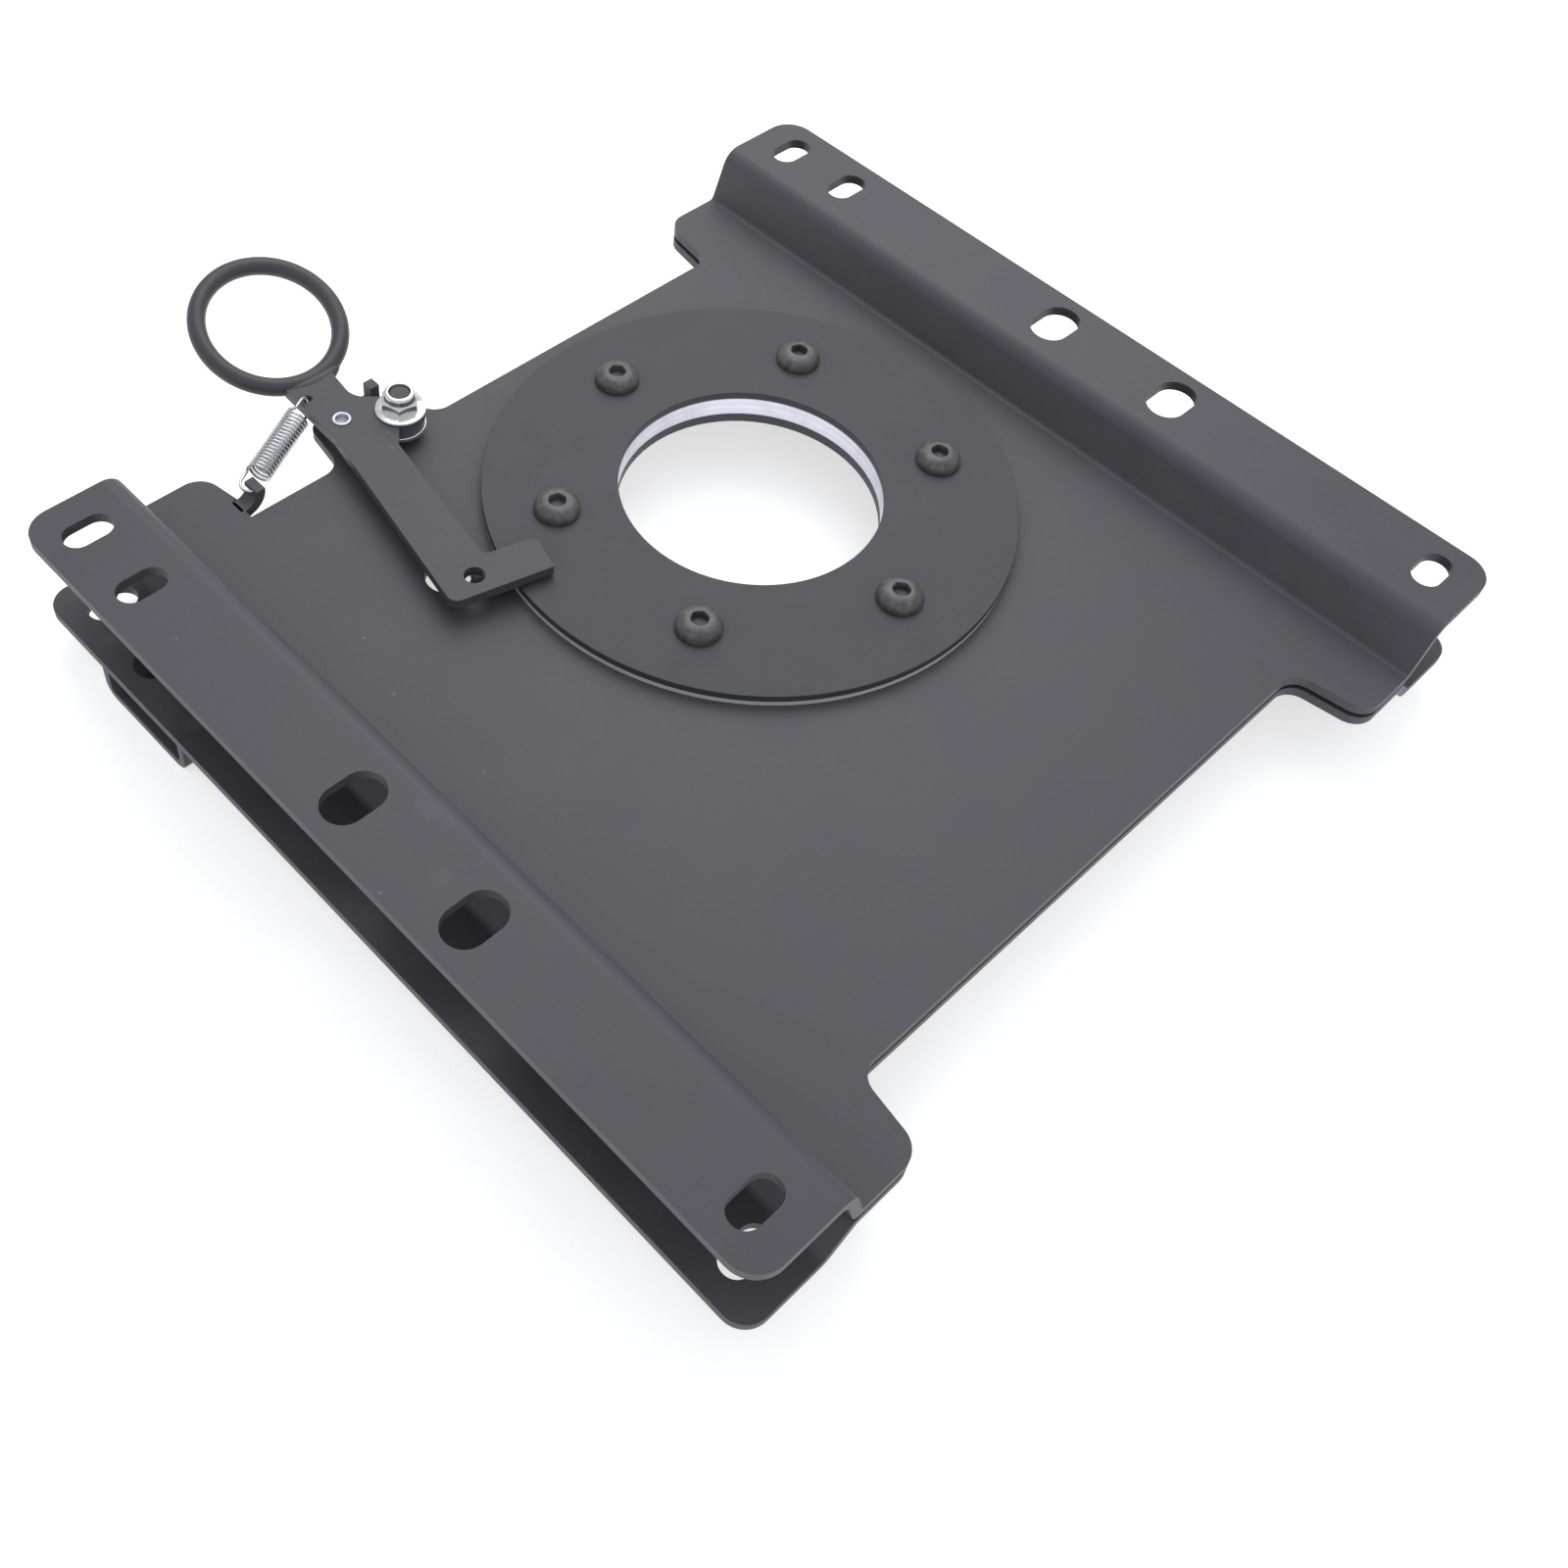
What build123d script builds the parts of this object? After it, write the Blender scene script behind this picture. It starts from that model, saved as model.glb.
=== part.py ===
# Swivel seat base for a camper van. Millimetres, +Z up, +Y towards the lever's pull ring.
# Origin: middle of the vehicle-side slot pattern, on the underside of the lower flanges.
import os
from math import cos, sin, tan, radians
from build123d import *

os.makedirs("parts", exist_ok=True)

# Fits
running = 0.05            # gap between flat faces that slide on each other
shaft_fit = 0.08          # radial play of turning fits
seat_fit = 0.1            # radial play of fixed pins, screws and rivets

# Pressed plates
sheet = 4.0               # thickness of both plates and of the lever
depth = 350.0             # length of the side flanges
seat_corner_r = 11.0      # outer corners of the upper flanges
vehicle_corner_r = 9.0
seat_half_width = 189.6   # middle to the upper flange's outer edge
vehicle_half_width = 188.0
seat_web_inset = 45.6     # upper flange's edge to where its web leaves the flat middle
vehicle_web_inset = 44.0
web_lean = 7.0            # how far the upper web leans out over its height
lower_web_lean = 11.0
upper_rise = 21.6         # middle's top face to the upper flange's top face
lower_drop = 11.0         # lower flange's underside to the middle's underside
wide_bend = 8.0
tight_bend = 2.0

# Outline of the flat middles
back_notch_depth = 28.3   # flange's end to the middle's edge
front_notch_depth = 28.4
back_notch_left = 114.3
back_notch_right = 113.0
front_notch_left = 114.3
front_notch_right = 114.6
notch_flare = 0.16        # sideways travel of a wing's flank for each mm of length
root_r = 8.0
wing_tip_r = 9.0

# Slots in both pairs of flanges
seat_slot_inset = 17.0    # upper flange's edge to the middle of its slots
vehicle_slot_inset = 17.5
end_slot_inset = 17.0     # flange's end to the middle of its end slot
inner_slot_pitch = 32.0
end_slot_length = 18.5
end_slot_width = 11.0
middle_slots_y = -15.2
middle_slots_pitch = 56.8
middle_slot_length = 22.6
middle_slot_width = 15.3

# Turntable
axis_x = 29.2
axis_to_pivot_y = 109.1
hub_outer_r = 84.0
hub_bore_r = 49.5
slip_t = 1.95
disc_overhang = 15.7      # disc's rim beyond the hub
disc_t = 3.0
slip_width = 15.5
notch_angle = 165.0
notch_width = 16.0
notch_depth = 10.0
view_hole_from_pivot_x = -33.8
view_hole_from_pivot_y = -68.3
view_hole_r = 8.2         # in the upper plate
lower_view_hole_r = 12.0

# Disc screws, M10 button head
screw_count = 6
screw_edge = 10.6         # screws' circle to the hub's outer face
screw_r = 5.0
screw_length = 16.0
screw_clearance = 0.5
screw_head_r = 8.6
screw_head_h = 5.5
screw_rim_h = 0.8
screw_hex = 6.0
screw_hex_depth = 3.1

# Tab that carries the lever
tab_left = 29.7           # tab's corners at the middle's edge, from the pivot
tab_right = 14.5
tab_length = 25.0
tab_corner_r = 6.0
tab_reach = 12.5          # pivot to the tab's right edge
lug_offset_x = -0.5       # lug's inner face from the pivot
lug_offset_y = 17.6
lug_width = 4.6
lug_height = 8.0

# Spring hook tongue on the left wing
hook_x = -111.3           # tongue's face towards the spring
hook_from_edge = 0.3      # tongue's side to the middle's edge
hook_width = 9.6
hook_height = 11.5
hook_notch_z = 4.0
hook_notch_h = 2.6
hook_notch_depth = 3.2
hook_bend = 2.6           # inner radius where the tongue turns up

# Lever
pivot_inside_rim = 22.5   # pivot to the disc's left edge
pivot_from_edge = 1.3     # pivot beyond the middle's edge
pivot_r = 4.0             # M8
pivot_head_r = 8.0
pivot_hex = 5.0
pivot_hex_depth = 2.4
lever_gap = 6.0           # upper plate to lever
lobe_r = 9.0
neck_end_y = 36.0
neck_left_x = -26.3
neck_right_x = -6.7
waist_x = -9.4
waist_y = 17.0
arm_left_x = -27.9
arm_left_y = 3.5
arm_root_x = -5.9
arm_root_y = -6.6
arm_right_x = -12.0
arm_right_y = -14.0
crook_x = -23.8
crook_y = -75.6
foot_tip_x = -4.0
foot_tip_y = -81.2
foot_toe_x = -8.6
foot_toe_y = -95.8
heel_x = -46.3
heel_y = -86.2
foot_hole_x = -32.2
foot_hole_y = -81.1
foot_hole_r = 3.75
spring_hole_x = -23.0
spring_hole_y = 26.4
spring_hole_r = 1.9
guide_x = -19.9
guide_y = 9.6
guide_r = 3.0
guide_wall = 0.6
guide_bore_depth = 2.6
guide_head_r = 3.6
guide_head_t = 0.6
guide_washer_r = 6.5
guide_washer_t = 1.5
tooth_width = 14.0
tooth_length = 7.5
tooth_gap = 0.3           # tooth to the disc's rim
tooth_drop = 3.7
spacer_r = 7.0
pivot_washer_r = 10.0
pivot_washer_t = 1.6
pivot_washer_bore_r = 6.5
pivot_washer_x = -1.8     # it hangs off the middle by the play in its bore
pivot_washer_y = -1.2
nut_flange_r = 9.6
nut_flange_t = 1.5
nut_hex = 13.0
nut_hex_h = 4.5
nut_collar_r = 5.9
nut_collar_h = 3.0
stud_over_collar = -0.5

# Pull ring
ring_r = 26.9
ring_bar_r = 3.5
ring_tilt = 20.2
ring_lead = 2.9           # bar's middle beyond the neck's square end
ring_offset_x = -14.0
weld_gap = 0.05

# Return spring
coil_r = 4.2
wire_r = 0.6
hook_loop_x = -2.7        # loop's middle from the tongue's face and side
hook_loop_y = 8.0
hook_loop_z = 5.2
coil_from_hook = 8.3
coil_from_lever = 8.2
hook_wrap = 36.0

# Underside bracket
strip = 3.5
strip_width = 25.0
bracket_inset = 36.0      # flange's end to the bracket's rear wall
bracket_span = 48.0
bracket_drop = 13.5
bracket_bend = 2.5

# Places that follow from the outline
back_edge = depth / 2 - back_notch_depth
front_edge = depth / 2 - front_notch_depth
seat_web_x = seat_half_width - seat_web_inset
vehicle_web_x = vehicle_half_width - vehicle_web_inset
seat_slot_x = seat_half_width - seat_slot_inset
vehicle_slot_x = vehicle_half_width - vehicle_slot_inset
end_slot_y = depth / 2 - end_slot_inset
inner_slot_y = end_slot_y - inner_slot_pitch
middle_back_y = middle_slots_y + middle_slots_pitch / 2
middle_front_y = middle_slots_y - middle_slots_pitch / 2
disc_r = hub_outer_r + disc_overhang
pivot_x = axis_x - disc_r + pivot_inside_rim
pivot_y = back_edge + pivot_from_edge
axis_y = pivot_y - axis_to_pivot_y
view_hole_x = pivot_x + view_hole_from_pivot_x
view_hole_y = pivot_y + view_hole_from_pivot_y
slip_r = hub_outer_r + slip_width
screw_circle_r = hub_outer_r - screw_edge
hook_y = back_edge + hook_from_edge
tab_left_x = pivot_x - tab_left
tab_right_x = pivot_x + tab_right
bracket_back = depth / 2 - bracket_inset
bracket_front = bracket_back - bracket_span

# Heights that follow from the stack
lower_under = lower_drop
lower_top = lower_under + sheet
upper_under = lower_top + slip_t + running
upper_top = upper_under + sheet
disc_under = upper_top + slip_t + running
disc_top = disc_under + disc_t
flange_top = upper_top + upper_rise
lever_under = upper_top + lever_gap
lever_top = lever_under + sheet
turn_axis = Plane((axis_x, axis_y, 0))
bore_r = hub_outer_r + shaft_fit


def flange_profile(path_points, radii, side):
    """Closed section of a bent sheet, drawn in the XZ plane from one of its faces."""
    with BuildSketch(Plane.XZ) as section:
        with BuildLine():
            FilletPolyline(*path_points, radius=radii)
            offset(amount=sheet, side=side)
        make_face()
    return section.sketch


def plate_outline(half_width, corner_r, tab):
    """Plan view of a plate with its four wings, and the lever's tab on the upper one."""
    half = depth / 2
    back_reach = (half - back_edge) * notch_flare
    front_reach = (half - front_edge) * notch_flare
    with BuildSketch() as plan:
        Rectangle(2 * half_width, depth)
        fillet(plan.vertices(), radius=corner_r)
        with BuildLine():
            Polyline(
                (-back_notch_left, back_edge),
                (-back_notch_left - back_reach, half),
                (back_notch_right + back_reach, half),
                (back_notch_right, back_edge),
                close=True,
            )
        make_face(mode=Mode.SUBTRACT)
        with BuildLine():
            Polyline(
                (-front_notch_left, -front_edge),
                (-front_notch_left - front_reach, -half),
                (front_notch_right + front_reach, -half),
                (front_notch_right, -front_edge),
                close=True,
            )
        make_face(mode=Mode.SUBTRACT)
        if tab:
            with BuildLine():
                Polyline(
                    (tab_left_x, back_edge),
                    (tab_left_x + tab_length * notch_flare, back_edge + tab_length),
                    (pivot_x + lug_offset_x + sheet, back_edge + tab_length),
                    (pivot_x + lug_offset_x + sheet, pivot_y + lug_offset_y),
                    (pivot_x + tab_reach, pivot_y + 0.9 * tab_reach),
                    (tab_right_x, back_edge),
                    close=True,
                )
            make_face()
            tab_tip = plan.vertices().sort_by_distance((tab_left_x, back_edge + tab_length))[0]
            fillet(tab_tip, radius=tab_corner_r)
            tab_roots = [
                plan.vertices().sort_by_distance((tab_left_x, back_edge))[0],
                plan.vertices().sort_by_distance((tab_right_x, back_edge))[0],
            ]
            fillet(tab_roots, radius=root_r)
        for x, y in (
            (-back_notch_left, back_edge),
            (back_notch_right, back_edge),
            (-front_notch_left, -front_edge),
            (front_notch_right, -front_edge),
        ):
            fillet(plan.vertices().sort_by_distance((x, y))[0], radius=root_r)
        for x, y in (
            (-back_notch_left - back_reach, half),
            (back_notch_right + back_reach, half),
            (-front_notch_left - front_reach, -half),
            (front_notch_right + front_reach, -half),
        ):
            fillet(plan.vertices().sort_by_distance((x, y))[0], radius=wing_tip_r)
    return plan.sketch


def flange_slots(slot_x, narrow_y, wide_y):
    """The slots of one pair of flanges, narrow and wide ones at the given Y."""
    with BuildSketch() as slots:
        for y in narrow_y:
            with Locations((-slot_x, y), (slot_x, y)):
                SlotOverall(end_slot_length, end_slot_width)
        for y in wide_y:
            with Locations((-slot_x, y), (slot_x, y)):
                SlotOverall(middle_slot_length, middle_slot_width)
    return slots.sketch


# Upper plate: flat middle, raised side flanges, lever tab with stop lug, spring hook tongue
upper_path = [
    (-seat_half_width, flange_top),
    (-seat_web_x - web_lean, flange_top),
    (-seat_web_x, upper_top),
    (seat_web_x, upper_top),
    (seat_web_x + web_lean, flange_top),
    (seat_half_width, flange_top),
]
upper_section = flange_profile(upper_path, [wide_bend, tight_bend, tight_bend, wide_bend], Side.RIGHT)
hook_top = upper_top + hook_height
hook_notch = upper_top + hook_notch_z
hook_end = hook_y + hook_width
hook_turn = hook_x - sheet - hook_bend
hook_path = [(hook_turn - 2, upper_top), (hook_x - sheet, upper_top), (hook_x - sheet, hook_top)]
hook_section = flange_profile(hook_path, hook_bend, Side.RIGHT)
with BuildPart() as hook_tongue:
    extrude(hook_section.face(), amount=-2 * depth, both=True)
    with BuildSketch(Plane.YZ.offset(hook_x + sheet)):
        with BuildLine():
            Polyline(
                (hook_y, upper_under),
                (hook_y, hook_top - 1.5),
                (hook_y + 0.55 * hook_width, hook_top),
                (hook_end + 0.6, hook_notch + hook_notch_h),
                (hook_end - hook_notch_depth, hook_notch + hook_notch_h),
                (hook_end - hook_notch_depth, hook_notch),
                (hook_end, hook_notch),
                (hook_end, upper_under),
                close=True,
            )
        make_face()
    extrude(amount=-10 * sheet, mode=Mode.INTERSECT)
with BuildPart() as upper_plate:
    extrude(upper_section.face(), amount=depth / 2, both=True)
    extrude(plate_outline(seat_half_width, seat_corner_r, True).face(), amount=2 * flange_top, mode=Mode.INTERSECT)
    with BuildSketch():
        with Locations((hook_turn, hook_y)):
            Rectangle(sheet + hook_bend, hook_width, align=Align.MIN)
    extrude(amount=2 * flange_top, mode=Mode.SUBTRACT)
    add(hook_tongue.part)
    with BuildSketch(Plane.XY.offset(upper_under)):
        with Locations((pivot_x + lug_offset_x, pivot_y + lug_offset_y)):
            Rectangle(sheet, lug_width, align=(Align.MIN, Align.MIN))
    extrude(amount=sheet + lug_height)
    with BuildSketch():
        add(flange_slots(seat_slot_x, (end_slot_y, inner_slot_y, -end_slot_y), (middle_back_y, middle_front_y)))
        with Locations((axis_x, axis_y)):
            Circle(bore_r)
        with Locations((view_hole_x, view_hole_y)):
            Circle(view_hole_r)
        with Locations((pivot_x, pivot_y)):
            Circle(pivot_r + seat_fit)
    extrude(amount=2 * flange_top, mode=Mode.SUBTRACT)
    with Locations((pivot_x, pivot_y, upper_under + sheet / 2)):
        Cone(pivot_head_r + seat_fit, pivot_r + seat_fit, sheet, mode=Mode.SUBTRACT)

# Lower plate: flat middle, lowered side flanges, hub bore and tapped holes
lower_path = [
    (-vehicle_half_width, 0),
    (-vehicle_web_x - lower_web_lean, 0),
    (-vehicle_web_x, lower_under),
    (vehicle_web_x, lower_under),
    (vehicle_web_x + lower_web_lean, 0),
    (vehicle_half_width, 0),
]
lower_section = flange_profile(lower_path, [wide_bend, tight_bend, tight_bend, wide_bend], Side.LEFT)
with BuildPart() as lower_plate:
    extrude(lower_section.face(), amount=depth / 2, both=True)
    extrude(plate_outline(vehicle_half_width, vehicle_corner_r, False).face(), amount=2 * lower_top, both=True, mode=Mode.INTERSECT)
    with BuildSketch():
        add(flange_slots(vehicle_slot_x, (end_slot_y, -end_slot_y), (inner_slot_y,)))
        with Locations((axis_x, axis_y)):
            Circle(hub_bore_r)
            with PolarLocations(screw_circle_r, screw_count, start_angle=90 - 360 / screw_count):
                Circle(screw_r + seat_fit)
        with Locations((view_hole_x, view_hole_y)):
            Circle(lower_view_hole_r)
    extrude(amount=2 * lower_top, both=True, mode=Mode.SUBTRACT)

# Hub ring that the upper plate turns round
with BuildPart() as centre_ring:
    with BuildSketch(turn_axis.offset(lower_top)):
        Circle(hub_outer_r)
        Circle(hub_bore_r, mode=Mode.SUBTRACT)
        with PolarLocations(screw_circle_r, screw_count, start_angle=90 - 360 / screw_count):
            Circle(screw_r + screw_clearance, mode=Mode.SUBTRACT)
    extrude(amount=disc_under - lower_top)


def slip_washer(height):
    """Flat plastic ring round the hub, lying on the face at this height."""
    with BuildPart() as washer:
        with BuildSketch(turn_axis.offset(height)):
            Circle(slip_r)
            Circle(bore_r, mode=Mode.SUBTRACT)
        extrude(amount=slip_t)
    return washer.part


with BuildPart() as lower_slip_washer:
    add(slip_washer(lower_top))
with BuildPart() as upper_slip_washer:
    add(slip_washer(upper_top + running))

# Retaining disc with the lock notch in its rim
with BuildPart() as retaining_disc:
    with BuildSketch(turn_axis.offset(disc_under)):
        Circle(disc_r)
        Circle(hub_bore_r, mode=Mode.SUBTRACT)
        with PolarLocations(screw_circle_r, screw_count, start_angle=90 - 360 / screw_count):
            Circle(screw_r + screw_clearance, mode=Mode.SUBTRACT)
        with PolarLocations(disc_r - notch_depth, 1, start_angle=notch_angle):
            Rectangle(2 * notch_depth, notch_width, align=(Align.MIN, Align.CENTER), mode=Mode.SUBTRACT)
    extrude(amount=disc_t)

# Disc screws: button head, hex socket, plain shank in the tapped hole
with BuildPart() as disc_screw:
    with BuildSketch(Plane.XZ):
        with BuildLine():
            Polyline((0, -screw_length), (screw_r - 0.8, -screw_length), (screw_r, 0.8 - screw_length), (screw_r, 0))
            Line((screw_r, 0), (screw_head_r - 0.3, 0))
            Line((screw_head_r - 0.3, 0), (screw_head_r, screw_rim_h))
            ThreePointArc(
                (screw_head_r, screw_rim_h),
                (0.84 * screw_head_r, 0.68 * screw_head_h),
                (0.52 * screw_head_r, screw_head_h),
            )
            Line((0.52 * screw_head_r, screw_head_h), (0, screw_head_h))
            Line((0, screw_head_h), (0, -screw_length))
        make_face()
    revolve(axis=Axis.Z)
    with BuildSketch(Plane.XY.offset(screw_head_h)):
        RegularPolygon(screw_hex / 2, 6, major_radius=False)
    extrude(amount=-screw_hex_depth, mode=Mode.SUBTRACT)

# Lever plate in plan, all points taken from the pivot
with BuildSketch(Plane((pivot_x, pivot_y, lever_under))) as lever_plan:
    with BuildLine():
        Polyline(
            (neck_left_x, neck_end_y),
            (neck_right_x, neck_end_y),
            (waist_x, waist_y),
            (0, lobe_r),
            (arm_root_x, arm_root_y),
            (arm_right_x, arm_right_y),
            (crook_x, crook_y),
            (foot_tip_x, foot_tip_y),
            (foot_toe_x, foot_toe_y),
            (heel_x, heel_y),
            (arm_left_x, arm_left_y),
            close=True,
        )
    make_face()
    for x, y, r in (
        (waist_x, waist_y, 8.0),
        (crook_x, crook_y, 3.0),
        (foot_tip_x, foot_tip_y, 3.5),
        (heel_x, heel_y, 4.0),
    ):
        fillet(lever_plan.vertices().sort_by_distance((x, y))[0], radius=r)
    Circle(lobe_r)
    Circle(pivot_r + shaft_fit, mode=Mode.SUBTRACT)
    with Locations((foot_hole_x, foot_hole_y)):
        Circle(foot_hole_r, mode=Mode.SUBTRACT)
    with Locations((spring_hole_x, spring_hole_y)):
        Circle(spring_hole_r, mode=Mode.SUBTRACT)
    with Locations((guide_x, guide_y)):
        Circle(guide_r + seat_fit, mode=Mode.SUBTRACT)

# Pull ring: its lowest point lies in the lever's middle plane
ring_low = (lever_under + lever_top) / 2
ring_centre_z = ring_low + ring_r * sin(radians(ring_tilt))
ring_centre_y = pivot_y + neck_end_y + ring_r * cos(radians(ring_tilt))
ring_plane = Plane((pivot_x + ring_offset_x, ring_centre_y, ring_centre_z)).rotated((ring_tilt, 0, 0))

with BuildPart() as lever_plate:
    add(lever_plan.sketch)
    extrude(amount=sheet)
    with Locations(ring_plane):
        Torus(ring_r, ring_bar_r + weld_gap, mode=Mode.SUBTRACT)
    split_off = lever_plate.solids().sort_by(SortBy.VOLUME)[-1]
with BuildPart() as lever_body:
    add(split_off)

with BuildPart() as pull_ring:
    with Locations(ring_plane):
        Torus(ring_r, ring_bar_r)

# Lock tooth below the foot, outside the disc's rim at the notch
with BuildPart() as lock_tooth:
    with BuildSketch(turn_axis.offset(lever_under - tooth_drop)):
        with PolarLocations(disc_r + tooth_gap, 1, start_angle=notch_angle):
            Rectangle(tooth_length, tooth_width, align=(Align.MIN, Align.CENTER))
        Circle(disc_r + tooth_gap, mode=Mode.SUBTRACT)
    extrude(amount=tooth_drop)

# Semi-tubular rivet through the lever with a washer below it
guide_plane = Plane((pivot_x + guide_x, pivot_y + guide_y, 0))
guide_low = lever_under - guide_washer_t - guide_head_t
with BuildPart() as guide_rivet:
    for height in (guide_low, lever_top):
        with BuildSketch(guide_plane.offset(height)):
            Circle(guide_head_r)
        extrude(amount=guide_head_t)
    with BuildSketch(guide_plane.offset(guide_low)):
        Circle(guide_r)
    extrude(amount=lever_top + guide_head_t - guide_low)
    with BuildSketch(guide_plane.offset(lever_top + guide_head_t)):
        Circle(guide_r - guide_wall)
    extrude(amount=-guide_bore_depth, mode=Mode.SUBTRACT)
with BuildPart() as guide_washer:
    with BuildSketch(guide_plane.offset(lever_under - guide_washer_t)):
        Circle(guide_washer_r)
        Circle(guide_r + seat_fit, mode=Mode.SUBTRACT)
    extrude(amount=guide_washer_t)

# Pivot: countersunk M8 screw from below, spacer, flange nut
pivot_plane = Plane((pivot_x, pivot_y, 0))
nut_under = lever_top + running
nut_top = nut_under + nut_flange_t + nut_hex_h + nut_collar_h
with BuildPart() as pivot_screw:
    with Locations((pivot_x, pivot_y, upper_under + sheet / 2)):
        Cone(pivot_head_r, pivot_r, sheet)
    with BuildSketch(pivot_plane.offset(upper_top)):
        Circle(pivot_r)
    extrude(amount=nut_top + stud_over_collar - upper_top)
    chamfer(pivot_screw.edges().sort_by(Axis.Z)[-1], length=0.6)
    with BuildSketch(pivot_plane.offset(upper_under)):
        RegularPolygon(pivot_hex / 2, 6, major_radius=False)
    extrude(amount=pivot_hex_depth, mode=Mode.SUBTRACT)
with BuildPart() as pivot_spacer:
    with BuildSketch(pivot_plane.offset(upper_top)):
        Circle(spacer_r)
        Circle(pivot_r + seat_fit, mode=Mode.SUBTRACT)
    extrude(amount=lever_gap - running - pivot_washer_t)
with BuildPart() as pivot_washer:
    with BuildSketch(pivot_plane.offset(lever_under - running - pivot_washer_t)):
        with Locations((pivot_washer_x, pivot_washer_y)):
            Circle(pivot_washer_r)
            Circle(pivot_washer_bore_r, mode=Mode.SUBTRACT)
    extrude(amount=pivot_washer_t)
with BuildPart() as pivot_nut:
    with BuildSketch(pivot_plane.offset(nut_under)):
        Circle(nut_flange_r)
    extrude(amount=nut_flange_t)
    with BuildSketch(pivot_plane.offset(nut_under + nut_flange_t)):
        RegularPolygon(nut_hex / 2, 6, major_radius=False, rotation=23)
    extrude(amount=nut_hex_h)
    with BuildSketch(pivot_plane.offset(nut_under + nut_flange_t + nut_hex_h)):
        Circle(nut_collar_r)
    extrude(amount=nut_collar_h)
    fillet(pivot_nut.edges().filter_by(GeomType.CIRCLE).sort_by(Axis.Z)[-1], radius=1.2)
    with BuildSketch(pivot_plane.offset(nut_under)):
        Circle(pivot_r + seat_fit)
    extrude(amount=nut_top, mode=Mode.SUBTRACT)

# Return spring: coil as a sleeve, loop round the tongue, loop through the lever's hole
hook_point = Vector(hook_x + hook_loop_x, hook_y + hook_loop_y, upper_top + hook_loop_z)
lever_point = Vector(pivot_x + spring_hole_x, pivot_y + spring_hole_y, (lever_under + lever_top) / 2)
spring_line = lever_point - hook_point
spring_side = Vector(0, 0, 1).cross(spring_line).normalized()
spring_up = spring_line.cross(spring_side).normalized()
spring_length = spring_line.length
flat_plane = Plane(hook_point, x_dir=spring_line, z_dir=spring_up)
upright_plane = Plane(hook_point, x_dir=spring_line, z_dir=spring_side * -1)
coil_start = coil_from_hook
coil_end = spring_length - coil_from_lever
coil_plane = Plane(hook_point, x_dir=spring_side, z_dir=spring_line)
hook_last = 180.0 + hook_wrap
with BuildPart() as return_spring:
    with BuildSketch(coil_plane.offset(coil_start)):
        Circle(coil_r + wire_r)
        Circle(coil_r - wire_r, mode=Mode.SUBTRACT)
    extrude(amount=coil_end - coil_start)
    with BuildLine(flat_plane) as hook_wire:
        Line((coil_start + 1.0, coil_r), (0, coil_r))
        CenterArc((0, 0), coil_r, 90, hook_last - 90)
    with BuildSketch(Plane(hook_wire.line @ 0, z_dir=hook_wire.line % 0)):
        Circle(wire_r)
    sweep(path=hook_wire.line)
    with BuildLine(upright_plane) as lever_wire:
        Line((coil_end - 1.0, coil_r), (spring_length - coil_r, coil_r))
        CenterArc((spring_length - coil_r, 0), coil_r, 90, -180)
        Line((spring_length - coil_r, -coil_r), (coil_end + 1.5, -coil_r))
    with BuildSketch(Plane(lever_wire.line @ 0, z_dir=lever_wire.line % 0)):
        Circle(wire_r)
    sweep(path=lever_wire.line)

# U-shaped strip welded below the left lower flange, flush with its edge
bracket_path = [
    (bracket_back - strip, 0),
    (bracket_back - strip, strip - bracket_drop),
    (bracket_front + strip, strip - bracket_drop),
    (bracket_front + strip, 0),
]
with BuildPart() as underside_bracket:
    with BuildSketch(Plane.YZ.offset(-vehicle_half_width)):
        with BuildLine():
            FilletPolyline(*bracket_path, radius=bracket_bend)
            offset(amount=strip, side=Side.LEFT)
        make_face()
    extrude(amount=strip_width)

pieces = {
    "lower_plate": lower_plate.part,
    "underside_bracket": underside_bracket.part,
    "centre_ring": centre_ring.part,
    "lower_slip_washer": lower_slip_washer.part,
    "upper_slip_washer": upper_slip_washer.part,
    "retaining_disc": retaining_disc.part,
    "upper_plate": upper_plate.part,
    "lever_plate": lever_body.part,
    "pull_ring": pull_ring.part,
    "lock_tooth": lock_tooth.part,
    "guide_rivet": guide_rivet.part,
    "guide_washer": guide_washer.part,
    "pivot_screw": pivot_screw.part,
    "pivot_spacer": pivot_spacer.part,
    "pivot_washer": pivot_washer.part,
    "pivot_nut": pivot_nut.part,
    "return_spring": return_spring.part,
}
for number in range(1, screw_count + 1):
    turn = radians(90 - (number - 1) * 360 / screw_count)
    place = (axis_x + screw_circle_r * cos(turn), axis_y + screw_circle_r * sin(turn), disc_top)
    pieces[f"disc_screw_{number}"] = Pos(*place) * disc_screw.part

for name, piece in pieces.items():
    piece.label = name
    export_step(piece, f"parts/{name}.step")
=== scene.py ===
"""Studio scene of a swivel seat base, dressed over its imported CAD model."""

from __future__ import annotations

import logging
import math
from dataclasses import dataclass, field, fields
from enum import Enum

import bmesh
import bpy
from bmesh.types import BMEdge, BMesh, BMFace, BMVert
from bpy.types import Material, Mesh, Node, NodeSocket, Object
from mathutils import Matrix, Vector


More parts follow.
